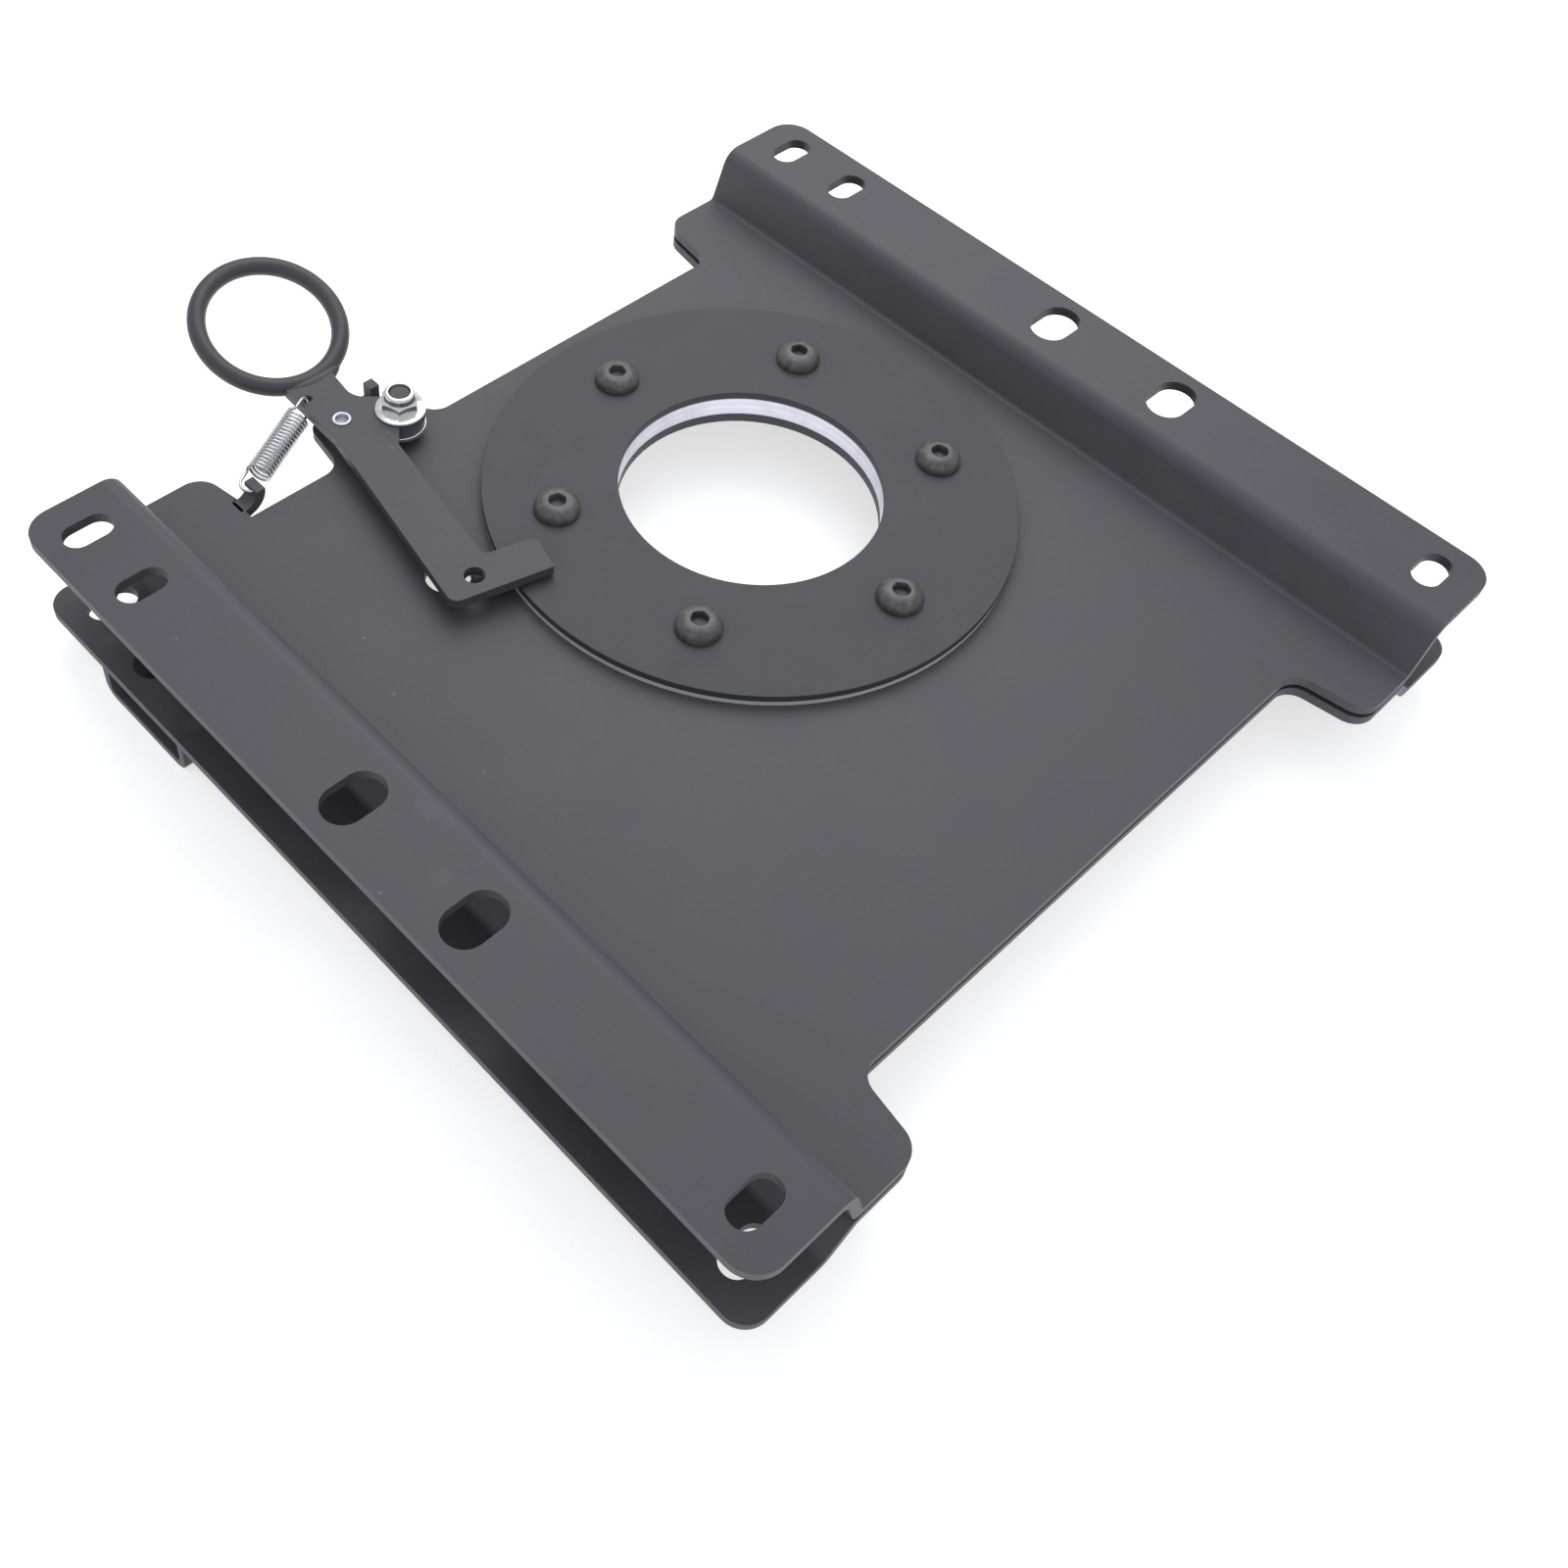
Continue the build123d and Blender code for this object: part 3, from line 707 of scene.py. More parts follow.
class RingStack:
    """A shell made of rings of equal count, bridged one to the next.

    Attributes:
        reach: Metres that a ring is lifted by while it is bridged.
    """

    reach: float = 0.1

    def __init__(self, matrix: Matrix, count: int = 48) -> None:
        """Starts a shell.

        Args:
            matrix: Place of the shell's own axis and start.
            count: Corners of each ring.
        """
        self.bm = bmesh.new()
        self.matrix = matrix
        self.count = count
        self.last: list[BMEdge] = []

    def _join(self, verts: list[BMVert]) -> None:
        """Bridges the newest ring to the one before it.

        The ring stands well above while it is bridged, so that no pair of corners crosses over.

        Args:
            verts: Corners of the newest ring.
        """
        edges = edges_among(self.bm, verts)
        if self.last:
            lift = Vector((0.0, 0.0, self.reach))
            bmesh.ops.translate(self.bm, verts=verts, vec=lift)
            bmesh.ops.bridge_loops(self.bm, edges=self.last + edges)
            bmesh.ops.translate(self.bm, verts=verts, vec=-lift)
        self.last = edges

    def circle(self, radius: float, height: float) -> RingStack:
        """Adds a round ring.

        Args:
            radius: Radius in millimetres.
            height: Height of the ring in millimetres.

        Returns:
            This shell.
        """
        made = bmesh.ops.create_circle(
            self.bm, cap_ends=False, segments=self.count, radius=radius * MM,
            matrix=Matrix.Translation((0.0, 0.0, height * MM)),
        )
        self._join(made["verts"])
        return self

    def hexagon(self, flats: float, height: float, chamfer_r: float = 0.0, turn: float = 0.0) -> RingStack:
        """Adds a six-sided ring.

        Args:
            flats: Width across flats in millimetres.
            height: Height of the ring in millimetres.
            chamfer_r: Radius from which a cone of 30 degrees lowers its corners, or 0.
            turn: Turn of the hexagon in degrees.

        Returns:
            This shell.
        """
        made = bmesh.ops.create_circle(
            self.bm, cap_ends=False, segments=self.count, radius=flats / 2.0 * MM,
            matrix=Matrix.Translation((0.0, 0.0, height * MM)),
        )
        verts = made["verts"]
        sixth = math.radians(60.0)
        for vert in verts:
            off_flat = math.atan2(vert.co.y, vert.co.x) % sixth - sixth / 2.0
            vert.co.x /= math.cos(off_flat)
            vert.co.y /= math.cos(off_flat)
        if chamfer_r:
            for vert in verts:
                over = vert.co.to_2d().length - chamfer_r * MM
                vert.co.z -= max(0.0, over) * math.tan(math.radians(30.0))
        spin = Matrix.Rotation(math.radians(turn), 3, "Z")
        bmesh.ops.rotate(self.bm, verts=verts, cent=(0, 0, 0), matrix=spin)
        self._join(verts)
        return self

    def close(self, name: str, material: Material, sharp: float = TURNED_CORNER) -> Object:
        """Fills what is open, moves the shell to its place and makes the object.

        Args:
            name: Name of the piece.
            material: Its material.
            sharp: Corners above this many degrees stay sharp.

        Returns:
            The new object.
        """
        rims = [e for e in self.bm.edges if e.is_boundary]
        if rims:
            bmesh.ops.holes_fill(self.bm, edges=rims, sides=0)
        bmesh.ops.recalc_face_normals(self.bm, faces=self.bm.faces)
        bmesh.ops.transform(self.bm, matrix=self.matrix, verts=self.bm.verts)
        return finish_mesh(self.bm, name, material, sharp)


class WireBender:
    """A round wire bent step by step, as a spring maker does."""

    def __init__(self, radius: float, start: Vector, heading: Vector, sides: int = 12) -> None:
        """Sets the wire's first end.

        Args:
            radius: Wire radius in metres.
            start: Middle of the first end.
            heading: Direction in which the wire leaves it.
            sides: Corners of the wire's section.
        """
        self.bm = bmesh.new()
        self.tip = start.copy()
        self.heading = heading.normalized()
        turn = self.heading.to_track_quat("Z", "Y").to_matrix().to_4x4()
        made = bmesh.ops.create_circle(
            self.bm, cap_ends=True, segments=sides, radius=radius, matrix=Matrix.Translation(start) @ turn
        )
        self.end = edges_among(self.bm, made["verts"])

    def straight(self, length: float) -> WireBender:
        """Runs straight on.

        Args:
            length: Length in metres.

        Returns:
            This wire.
        """
        made = bmesh.ops.extrude_edge_only(self.bm, edges=self.end)["geom"]
        verts = corners_of(made)
        bmesh.ops.translate(self.bm, verts=verts, vec=self.heading * length)
        self.end = edges_among(self.bm, verts)
        self.tip += self.heading * length
        return self

    def turn(
        self, centre: Vector, axis: Vector, angle: float, steps: int, advance: Vector | None = None
    ) -> WireBender:
        """Bends round an axis, rising along it when asked.

        Args:
            centre: Point on the axis.
            axis: Direction of the axis.
            angle: Turn in radians, against the clock round the axis.
            steps: Number of short pieces.
            advance: Whole travel along the axis in metres, or None.

        Returns:
            This wire.
        """
        step = (advance or Vector()) / steps
        made = bmesh.ops.spin(
            self.bm, geom=self.end, cent=centre, axis=axis, dvec=step, angle=angle,
            space=Matrix.Identity(4), steps=steps, use_merge=False, use_normal_flip=False,
            use_duplicate=False,
        )
        self.end = [e for e in made["geom_last"] if isinstance(e, BMEdge)]
        spin = Matrix.Rotation(angle, 3, axis)
        self.tip = centre + spin @ (self.tip - centre) + (advance or Vector())
        self.heading = spin @ self.heading
        return self

    def cut(self, name: str, material: Material) -> Object:
        """Closes the wire's last end and makes the object.

        Args:
            name: Name of the piece.
            material: Its material.

        Returns:
            The new object.
        """
        bmesh.ops.edgeloop_fill(self.bm, edges=self.end)
        bmesh.ops.remove_doubles(self.bm, verts=self.bm.verts, dist=SAME_SPOT)
        bmesh.ops.recalc_face_normals(self.bm, faces=self.bm.faces)
        return finish_mesh(self.bm, name, material, WIRE_CORNER)


def settle(obj: Object) -> None:
    """Applies an object's modifiers to its mesh.

    Args:
        obj: The object, whose mesh is replaced.
    """
    graph = bpy.context.evaluated_depsgraph_get()
    mesh = bpy.data.meshes.new_from_object(obj.evaluated_get(graph))
    mesh.name = obj.name
    obj.modifiers.clear()
    obj.data = mesh


def even_normals(obj: Object) -> None:
    """Lets the large faces set the shading, so that only the rounded edges turn.

    Args:
        obj: The object to shade.
    """
    weigh = obj.modifiers.new("weigh", "WEIGHTED_NORMAL")
    weigh.keep_sharp = True
    settle(obj)


def cut_away(mesh: Mesh, low: Vector, high: Vector) -> Mesh:
    """Cuts a box out of a copy of a mesh.

    Args:
        mesh: Mesh to copy.
        low: Low corner of the box in millimetres.
        high: High corner of the box in millimetres.

    Returns:
        The cut copy.
    """
    bm = bmesh.new()
    bmesh.ops.create_cube(bm, size=1.0, matrix=box_between(low, high))
    box = bpy.data.objects.new("cutter", bpy.data.meshes.new("cutter"))
    bm.to_mesh(box.data)
    bm.free()
    work = bpy.data.objects.new("cut_work", mesh.copy())
    for obj in (box, work):
        bpy.context.scene.collection.objects.link(obj)
    cut = work.modifiers.new("cut", "BOOLEAN")
    cut.object = box
    cut.operation = "DIFFERENCE"
    settle(work)
    result = work.data
    for obj in (box, work):
        bpy.data.objects.remove(obj)
    return result


def bevelled_copy(
    node: str, name: str, material: Material, width: float, cut: Corners | None = None
) -> Object:
    """Copies a CAD solid, merges its triangles and rounds its sharp edges.

    Args:
        node: CAD node to copy.
        name: Name of the new piece.
        material: Its material.
        width: Width of the rounding in millimetres.
        cut: Corners of a box to cut away first, or None.

    Returns:
        The new piece, in the node's place.
    """
    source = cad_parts[node].data
    bm = bmesh.new()
    bm.from_mesh(cut_away(source, *cut) if cut else source)
    bmesh.ops.remove_doubles(bm, verts=bm.verts, dist=CAD_SPOT)
    bmesh.ops.dissolve_limit(
        bm, angle_limit=math.radians(0.6), use_dissolve_boundaries=False, verts=bm.verts, edges=bm.edges
    )
    round_corners(bm, width)
    obj = finish_mesh(bm, name, material, SHEET_CORNER)
    even_normals(obj)
    return obj


class TongueBender:
    """A strip of sheet pushed straight on and bent about one axis along Y."""

    def __init__(self, section: Matrix, shift: float, centre: Vector) -> None:
        """Sets the strip's first section, split in two across its width.

        Args:
            section: Place of the section's unit square, X up through the sheet and Y along its width.
            shift: Move of the split from the section's middle, in metres.
            centre: A point on the bend's axis.
        """
        self.bm = bmesh.new()
        self.centre = centre
        made = bmesh.ops.create_grid(self.bm, x_segments=1, y_segments=2, size=0.5, matrix=section)
        middle = section.translation.y
        quarter = section.to_scale().y / 4
        split = [v for v in made["verts"] if abs(v.co.y - middle) < quarter]
        bmesh.ops.translate(self.bm, verts=split, vec=(0.0, shift, 0.0))
        self.first = list(self.bm.faces)

    def _grow(self, faces: list[BMFace]) -> tuple[list[BMVert], list[BMFace]]:
        """Extrudes faces and drops the old ones.

        Args:
            faces: Faces to extrude.

        Returns:
            The new corners and faces, still in the old place.
        """
        made = bmesh.ops.extrude_face_region(self.bm, geom=faces)["geom"]
        bmesh.ops.delete(self.bm, geom=faces, context="FACES_ONLY")
        return corners_of(made), [part for part in made if isinstance(part, BMFace)]

    def run(self, faces: list[BMFace], vector: Vector) -> list[BMFace]:
        """Pushes faces straight on.

        Args:
            faces: Faces at the strip's end.
            vector: Way to go, in metres.

        Returns:
            The faces at the new end.
        """
        verts, grown = self._grow(faces)
        bmesh.ops.translate(self.bm, verts=verts, vec=vector)
        return grown

    def bend(self, faces: list[BMFace], angle: float, steps: int) -> list[BMFace]:
        """Bends faces up round the axis.

        Args:
            faces: Faces at the strip's end.
            angle: Bend in degrees.
            steps: Number of short pieces.

        Returns:
            The faces at the new end.
        """
        turn = Matrix.Rotation(math.radians(-angle / steps), 3, "Y")
        for _ in range(steps):
            verts, faces = self._grow(faces)
            bmesh.ops.rotate(self.bm, verts=verts, cent=self.centre, matrix=turn)
        return faces

    def trim(self, edge: float, name: str, material: Material) -> Object:
        """Closes the strip, rounds its edges and makes the object.

        Args:
            edge: Width of the rounding in millimetres.
            name: Name of the piece.
            material: Its material.

        Returns:
            The new object.
        """
        bmesh.ops.remove_doubles(self.bm, verts=self.bm.verts, dist=SAME_SPOT)
        bmesh.ops.holes_fill(self.bm, edges=[e for e in self.bm.edges if e.is_boundary], sides=0)
        bmesh.ops.recalc_face_normals(self.bm, faces=self.bm.faces)
        round_corners(self.bm, edge)
        obj = finish_mesh(self.bm, name, material, SHEET_CORNER)
        even_normals(obj)
        return obj


@dataclass
class Plates:
    """The two pressed plates with the bracket and the bent tongue of the spring."""

    edge: float = 0.45
    sheet: float = 4.0
    under: float = 17.0
    bend_x: float = -117.0
    bend_r: float = 5.3
    lead_in: float = 2.0
    tongue_y: tuple[float, float, float] = (150.3, 153.6, 157.1)
    root: tuple[float, float] = (146.6, 157.3)
    groove: tuple[float, float] = (-34.0, -17.0)
    tongue_end: float = 3.0
    bend_steps: tuple[int, int, int] = (6, 2, 3)
    nose: float = 4.4
    relief: Corners = (Vector((-118.5, 146.7, 15.0)), Vector((-105.0, 157.2, 40.0)))
    materials: Materials = field(kw_only=True)

    def build(self) -> None:
        """Builds the plates with softly rounded sheet edges."""
        bodies = {"upper_plate": Body.SEAT, "lower_plate": Body.BASE, "underside_bracket": Body.BASE}
        for node, body in bodies.items():
            cut = self.relief if node == "upper_plate" else None
            piece = bevelled_copy(node, node + "_pressed", self.materials.plate, self.edge, cut=cut)
            place_piece(piece, body, Slot.COAT, node)
        self._tongue()

    def _tongue(self) -> None:
        """Bends the hook tongue up from the wing and leaves its groove open."""
        front, split, back = self.tongue_y
        top = self.under + self.sheet
        start = self.bend_x - self.lead_in
        middle = (front + back) / 2
        place = Matrix.Translation(Vector((start, middle, self.under + self.sheet / 2)) * MM)
        size = Matrix.Diagonal((self.sheet * MM, (back - front) * MM, 1.0, 1.0))
        section = place @ Matrix.Rotation(math.radians(-90.0), 4, "Y") @ size
        centre = Vector((self.bend_x, 0.0, top + self.bend_r)) * MM
        strip = TongueBender(section, (split - middle) * MM, centre)
        low, high = Vector((start, self.root[0], self.under)), Vector((self.bend_x, self.root[1], top))
        bmesh.ops.create_cube(strip.bm, size=1.0, matrix=box_between(low, high))
        whole = strip.run(strip.first, Vector((self.lead_in * MM, 0.0, 0.0)))
        whole = strip.bend(whole, 90.0 + self.groove[0], self.bend_steps[0])
        neck = min(whole, key=lambda face: face.calc_center_median().y)
        neck = strip.bend([neck], self.groove[1] - self.groove[0], self.bend_steps[1])
        before = set(strip.bm.faces)
        strip.bend(neck, self.tongue_end - self.groove[1], self.bend_steps[2])
        fresh = [face for face in strip.bm.faces if face not in before]
        sides = [face for face in fresh if abs(face.calc_center_median().y - split * MM) < 0.001 * MM]
        strip.run(sides, Vector((0.0, self.nose * MM, 0.0)))
        tongue = strip.trim(self.edge, "hook_tongue_bent", self.materials.plate)
        place_piece(tongue, Body.SEAT, Slot.COAT)


@dataclass
class Turntable:
    """Hub ring, slip washers, retaining disc and its screws."""

    axis_x: float = 29.2
    axis_y: float = 38.9
    disc_top: float = 26.0
    screw_circle: float = 73.4
    head_r: float = 8.6
    head_h: float = 5.0
    rim_h: float = 0.8
    socket: float = 6.0
    socket_depth: float = 3.1
    flat_share: float = 0.44
    dome_steps: int = 9
    seat_round: float = 0.35
    flat_break: float = 0.4
    socket_break: float = 0.35
    drill_r: float = 2.3
    drill_tip: float = 0.7
    shank_r: float = 5.0
    shank_length: float = 16.0
    shank_chamfer: float = 0.8
    first_screw: float = 90.0
    drive_step: float = 17.0
    materials: Materials = field(kw_only=True)

    def build(self) -> None:
        """Builds the disc and screws, and dresses the ring and washers."""
        disc = bevelled_copy("retaining_disc", "retaining_disc_pressed", self.materials.disc, 0.35)
        place_piece(disc, Body.BASE, Slot.COAT, "retaining_disc")
        hub = bevelled_copy("centre_ring", "centre_ring_turned", self.materials.hub, 0.3)
        place_piece(hub, Body.BASE, Slot.HUB, "centre_ring")
        for node in ("lower_slip_washer", "upper_slip_washer"):
            dress(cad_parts[node], self.materials.washer)
        for number in range(1, 7):
            self._screw(number)

    def _screw(self, number: int) -> None:
        """Builds one button-head screw with its hex socket.

        Args:
            number: Number of the screw, 1 to 6, clockwise from the back.
        """
        angle = math.radians(self.first_screw - 60.0 * (number - 1))
        spot = Vector((
            self.axis_x + self.screw_circle * math.cos(angle),
            self.axis_y + self.screw_circle * math.sin(angle),
            self.disc_top,
        )) * MM
        turn = math.radians(self.drive_step * number)
        floor = self.head_h - self.socket_depth
        shell = RingStack(Matrix.Translation(spot) @ Matrix.Rotation(turn, 4, "Z"))
        shell.circle(self.shank_r - self.shank_chamfer, -self.shank_length)
        shell.circle(self.shank_r, self.shank_chamfer - self.shank_length)
        shell.circle(self.shank_r, 0.0).circle(self.head_r - self.seat_round, 0.0)
        shell.circle(self.head_r - 0.1, 0.12).circle(self.head_r, self.seat_round)
        shell.circle(self.head_r, self.rim_h)
        flat_r = self.flat_share * self.head_r
        for step in range(1, self.dome_steps):
            part = math.radians(90.0 * step / self.dome_steps)
            radius = flat_r + (self.head_r - flat_r) * math.cos(part)
            height = self.rim_h + (self.head_h - self.rim_h) * math.sin(part)
            shell.circle(radius, height)
        shell.circle(flat_r, self.head_h).circle(flat_r - self.flat_break, self.head_h)
        shell.hexagon(self.socket, self.head_h - self.socket_break).hexagon(self.socket, floor)
        shell.circle(self.drill_r, floor).circle(0.4, floor - self.drill_tip)
        screw = shell.close(f"disc_screw_{number}_head", self.materials.screw)
        place_piece(screw, Body.BASE, Slot.OXIDE, f"disc_screw_{number}")


@dataclass
class Pivot:
    """Countersunk screw, sleeve, washer and flange nut that carry the lever."""

    x: float = -48.0
    y: float = 148.0
    nut_under: float = 31.05
    flange_r: float = 9.6
    flange_h: float = 1.5
    neck_r: float = 7.55
    chamfer_r: float = 6.15
    flats: float = 13.0
    hex_turn: float = 49.0
    collar_r: float = 5.9
    hex_h: float = 4.5
    collar_h: float = 3.0
    collar_roll: float = 1.2
    bore_r: float = 4.1
    head_z: float = 17.0
    head_r: float = 8.0
    socket: float = 5.0
    socket_depth: float = 2.4
    stud_r: float = 4.0
    stud_top: float = 39.5
    materials: Materials = field(kw_only=True)

    def build(self) -> None:
        """Builds the nut, the screw and the washer, and dresses the sleeve."""
        self._nut()
        self._stud()
        dress(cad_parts["pivot_spacer"], self.materials.sleeve)
        washer = bevelled_copy("pivot_washer", "pivot_washer_plated", self.materials.zinc, 0.25)
        place_piece(washer, Body.SEAT, Slot.ZINC, "pivot_washer")

    def _stud(self) -> None:
        """Builds the countersunk screw with its socket below and its bare end above."""
        shell = RingStack(Matrix.Translation(Vector((self.x, self.y, 0.0)) * MM))
        floor = self.head_z + self.socket_depth
        shell.circle(0.4, floor + 0.5).hexagon(self.socket, floor).hexagon(self.socket, self.head_z)
        shell.circle(self.head_r - 0.3, self.head_z).circle(self.head_r, self.head_z + 0.3)
        shell.circle(self.stud_r, self.head_z + 4.0).circle(self.stud_r, self.stud_top - 0.7)
        shell.circle(self.stud_r - 0.7, self.stud_top).circle(0.6, self.stud_top - 0.1)
        stud = shell.close("pivot_screw_turned", self.materials.stud)
        place_piece(stud, Body.SEAT, Slot.OXIDE, "pivot_screw")

    def _nut(self) -> None:
        """Builds the flange nut with its chamfered hexagon and rolled collar."""
        shell = RingStack(Matrix.Translation(Vector((self.x, self.y, self.nut_under)) * MM))
        shell.circle(self.bore_r, 0.0).circle(self.flange_r - 0.25, 0.0).circle(self.flange_r, 0.2)
        shell.circle(self.flange_r, 0.8).circle(self.flange_r - 0.3, 1.1)
        shell.circle(self.neck_r, self.flange_h)
        shell.hexagon(self.flats, self.flange_h + 0.1, turn=self.hex_turn)
        top = self.flange_h + self.hex_h
        shell.hexagon(self.flats, top, chamfer_r=self.chamfer_r, turn=self.hex_turn)
        shell.circle(self.collar_r + 0.15, top + 0.05).circle(self.collar_r, top + 0.3)
        crown = top + self.collar_h
        shell.circle(self.collar_r, crown - self.collar_roll)
        for angle in (22.5, 45.0, 67.5, 84.0):
            part = math.radians(angle)
            radius = self.collar_r - self.collar_roll + self.collar_roll * math.cos(part)
            shell.circle(radius, crown - self.collar_roll + self.collar_roll * math.sin(part))
        shell.circle(self.bore_r + 0.15, crown).circle(self.bore_r, crown - 0.25)
        shell.circle(self.bore_r, 0.0)
        bmesh.ops.remove_doubles(shell.bm, verts=shell.bm.verts, dist=SAME_SPOT)
        nut = shell.close("pivot_nut_plated", self.materials.zinc)
        place_piece(nut, Body.SEAT, Slot.ZINC, "pivot_nut")


@dataclass
class Lever:
    """Lever plate with its tooth, guide rivet and pull ring."""

    rivet_x: float = -67.9
    rivet_y: float = 157.6
    rivet_low: float = 24.9
    rivet_top: float = 31.6
    rivet_r: float = 3.0
    rivet_head_r: float = 3.6
    rivet_bore_r: float = 2.4
    bore_depth: float = 2.6
    lever_top: float = 31.0
    ring_centre: Place = (-62.0, 209.246, 38.289)
    ring_r: float = 26.9
    bar_r: float = 3.5
    bar_sides: int = 28
    bar_steps: int = 144
    ring_tilt: float = 20.2
    weld_span: float = 52.0
    weld_out: float = 2.4
    weld_up: float = 0.5
    weld_r: float = 3.2
    weld_tip: float = 0.15
    weld_sides: int = 20
    weld_steps: int = 24
    materials: Materials = field(kw_only=True)

    def build(self) -> None:
        """Builds the lever's pieces."""
        plate = bevelled_copy("lever_plate", "lever_plate_pressed", self.materials.lever, 0.4)
        place_piece(plate, Body.LEVER, Slot.COAT, "lever_plate")
        tooth = bevelled_copy("lock_tooth", "lock_tooth_ground", self.materials.lever, 0.4)
        place_piece(tooth, Body.LEVER, Slot.COAT, "lock_tooth")
        washer = bevelled_copy("guide_washer", "guide_washer_plated", self.materials.zinc, 0.25)
        place_piece(washer, Body.LEVER, Slot.ZINC, "guide_washer")
        self._rivet()
        self._ring()
        self._weld()

    def _rivet(self) -> None:
        """Builds the semi-tubular rivet with its rolled lip and dished bore."""
        shell = RingStack(Matrix.Translation(Vector((self.rivet_x, self.rivet_y, 0.0)) * MM))
        floor = self.rivet_top - self.bore_depth
        shell.circle(0.5, floor - 0.15).circle(self.rivet_bore_r - 0.5, floor)
        shell.circle(self.rivet_bore_r, floor + 0.4)
        lip = (self.rivet_top - self.lever_top) / 2
        middle = (self.rivet_head_r + self.rivet_bore_r) / 2
        half = (self.rivet_head_r - self.rivet_bore_r) / 2
        for angle in range(180, -1, -30):
            part = math.radians(angle)
            shell.circle(middle + half * math.cos(part), self.rivet_top - lip + lip * math.sin(part))
        shell.circle(self.rivet_head_r - 0.1, self.lever_top).circle(self.rivet_r, self.lever_top)
        shell.circle(self.rivet_r, self.rivet_low + 0.6).circle(self.rivet_head_r - 0.1, self.rivet_low + 0.6)
        shell.circle(self.rivet_head_r, self.rivet_low + 0.3).circle(self.rivet_head_r - 0.2, self.rivet_low)
        rivet = shell.close("guide_rivet_rolled", self.materials.rivet)
        place_piece(rivet, Body.LEVER, Slot.ZINC, "guide_rivet")

    def _ring_place(self) -> Matrix:
        """Gives the place and tilt of the ring's own axis."""
        tilt = Matrix.Rotation(math.radians(self.ring_tilt), 4, "X")
        return Matrix.Translation(Vector(self.ring_centre) * MM) @ tilt

    def _ring(self) -> None:
        """Spins the pull ring's bar round the ring's own axis."""
        bm = bmesh.new()
        stand = Matrix.Translation((self.ring_r * MM, 0.0, 0.0))
        bend_bar(bm, stand, self.bar_sides, self.bar_r, math.tau, self.bar_steps)
        bmesh.ops.recalc_face_normals(bm, faces=bm.faces)
        bmesh.ops.transform(bm, matrix=self._ring_place(), verts=bm.verts)
        ring = finish_mesh(bm, "pull_ring_bar", self.materials.ring, BAR_CORNER)
        place_piece(ring, Body.LEVER, Slot.COAT, "pull_ring")

    def _weld(self) -> None:
        """Lays the weld that blends the ring's bar into the lever's neck."""
        bm = bmesh.new()
        span, middle = math.radians(self.weld_span), math.radians(-90.0)
        radius, lift = (self.ring_r + self.weld_out) * MM, self.weld_up * MM
        stand = Matrix.Rotation(middle - span / 2, 4, "Z") @ Matrix.Translation((radius, 0.0, lift))
        bend_bar(bm, stand, self.weld_sides, self.weld_r, span, self.weld_steps)
        for vert in bm.verts:
            angle = math.atan2(vert.co.y, vert.co.x)
            off = min(1.0, abs(angle - middle) / (span / 2))
            core = Vector((radius * math.cos(angle), radius * math.sin(angle), lift))
            vert.co = core + (vert.co - core) * max(self.weld_tip, math.sqrt(1.0 - off * off))
        bmesh.ops.holes_fill(bm, edges=[e for e in bm.edges if e.is_boundary], sides=0)
        bmesh.ops.recalc_face_normals(bm, faces=bm.faces)
        bmesh.ops.transform(bm, matrix=self._ring_place(), verts=bm.verts)
        weld = finish_mesh(bm, "pull_ring_weld", self.materials.lever, BAR_CORNER)
        place_piece(weld, Body.LEVER, Slot.COAT)


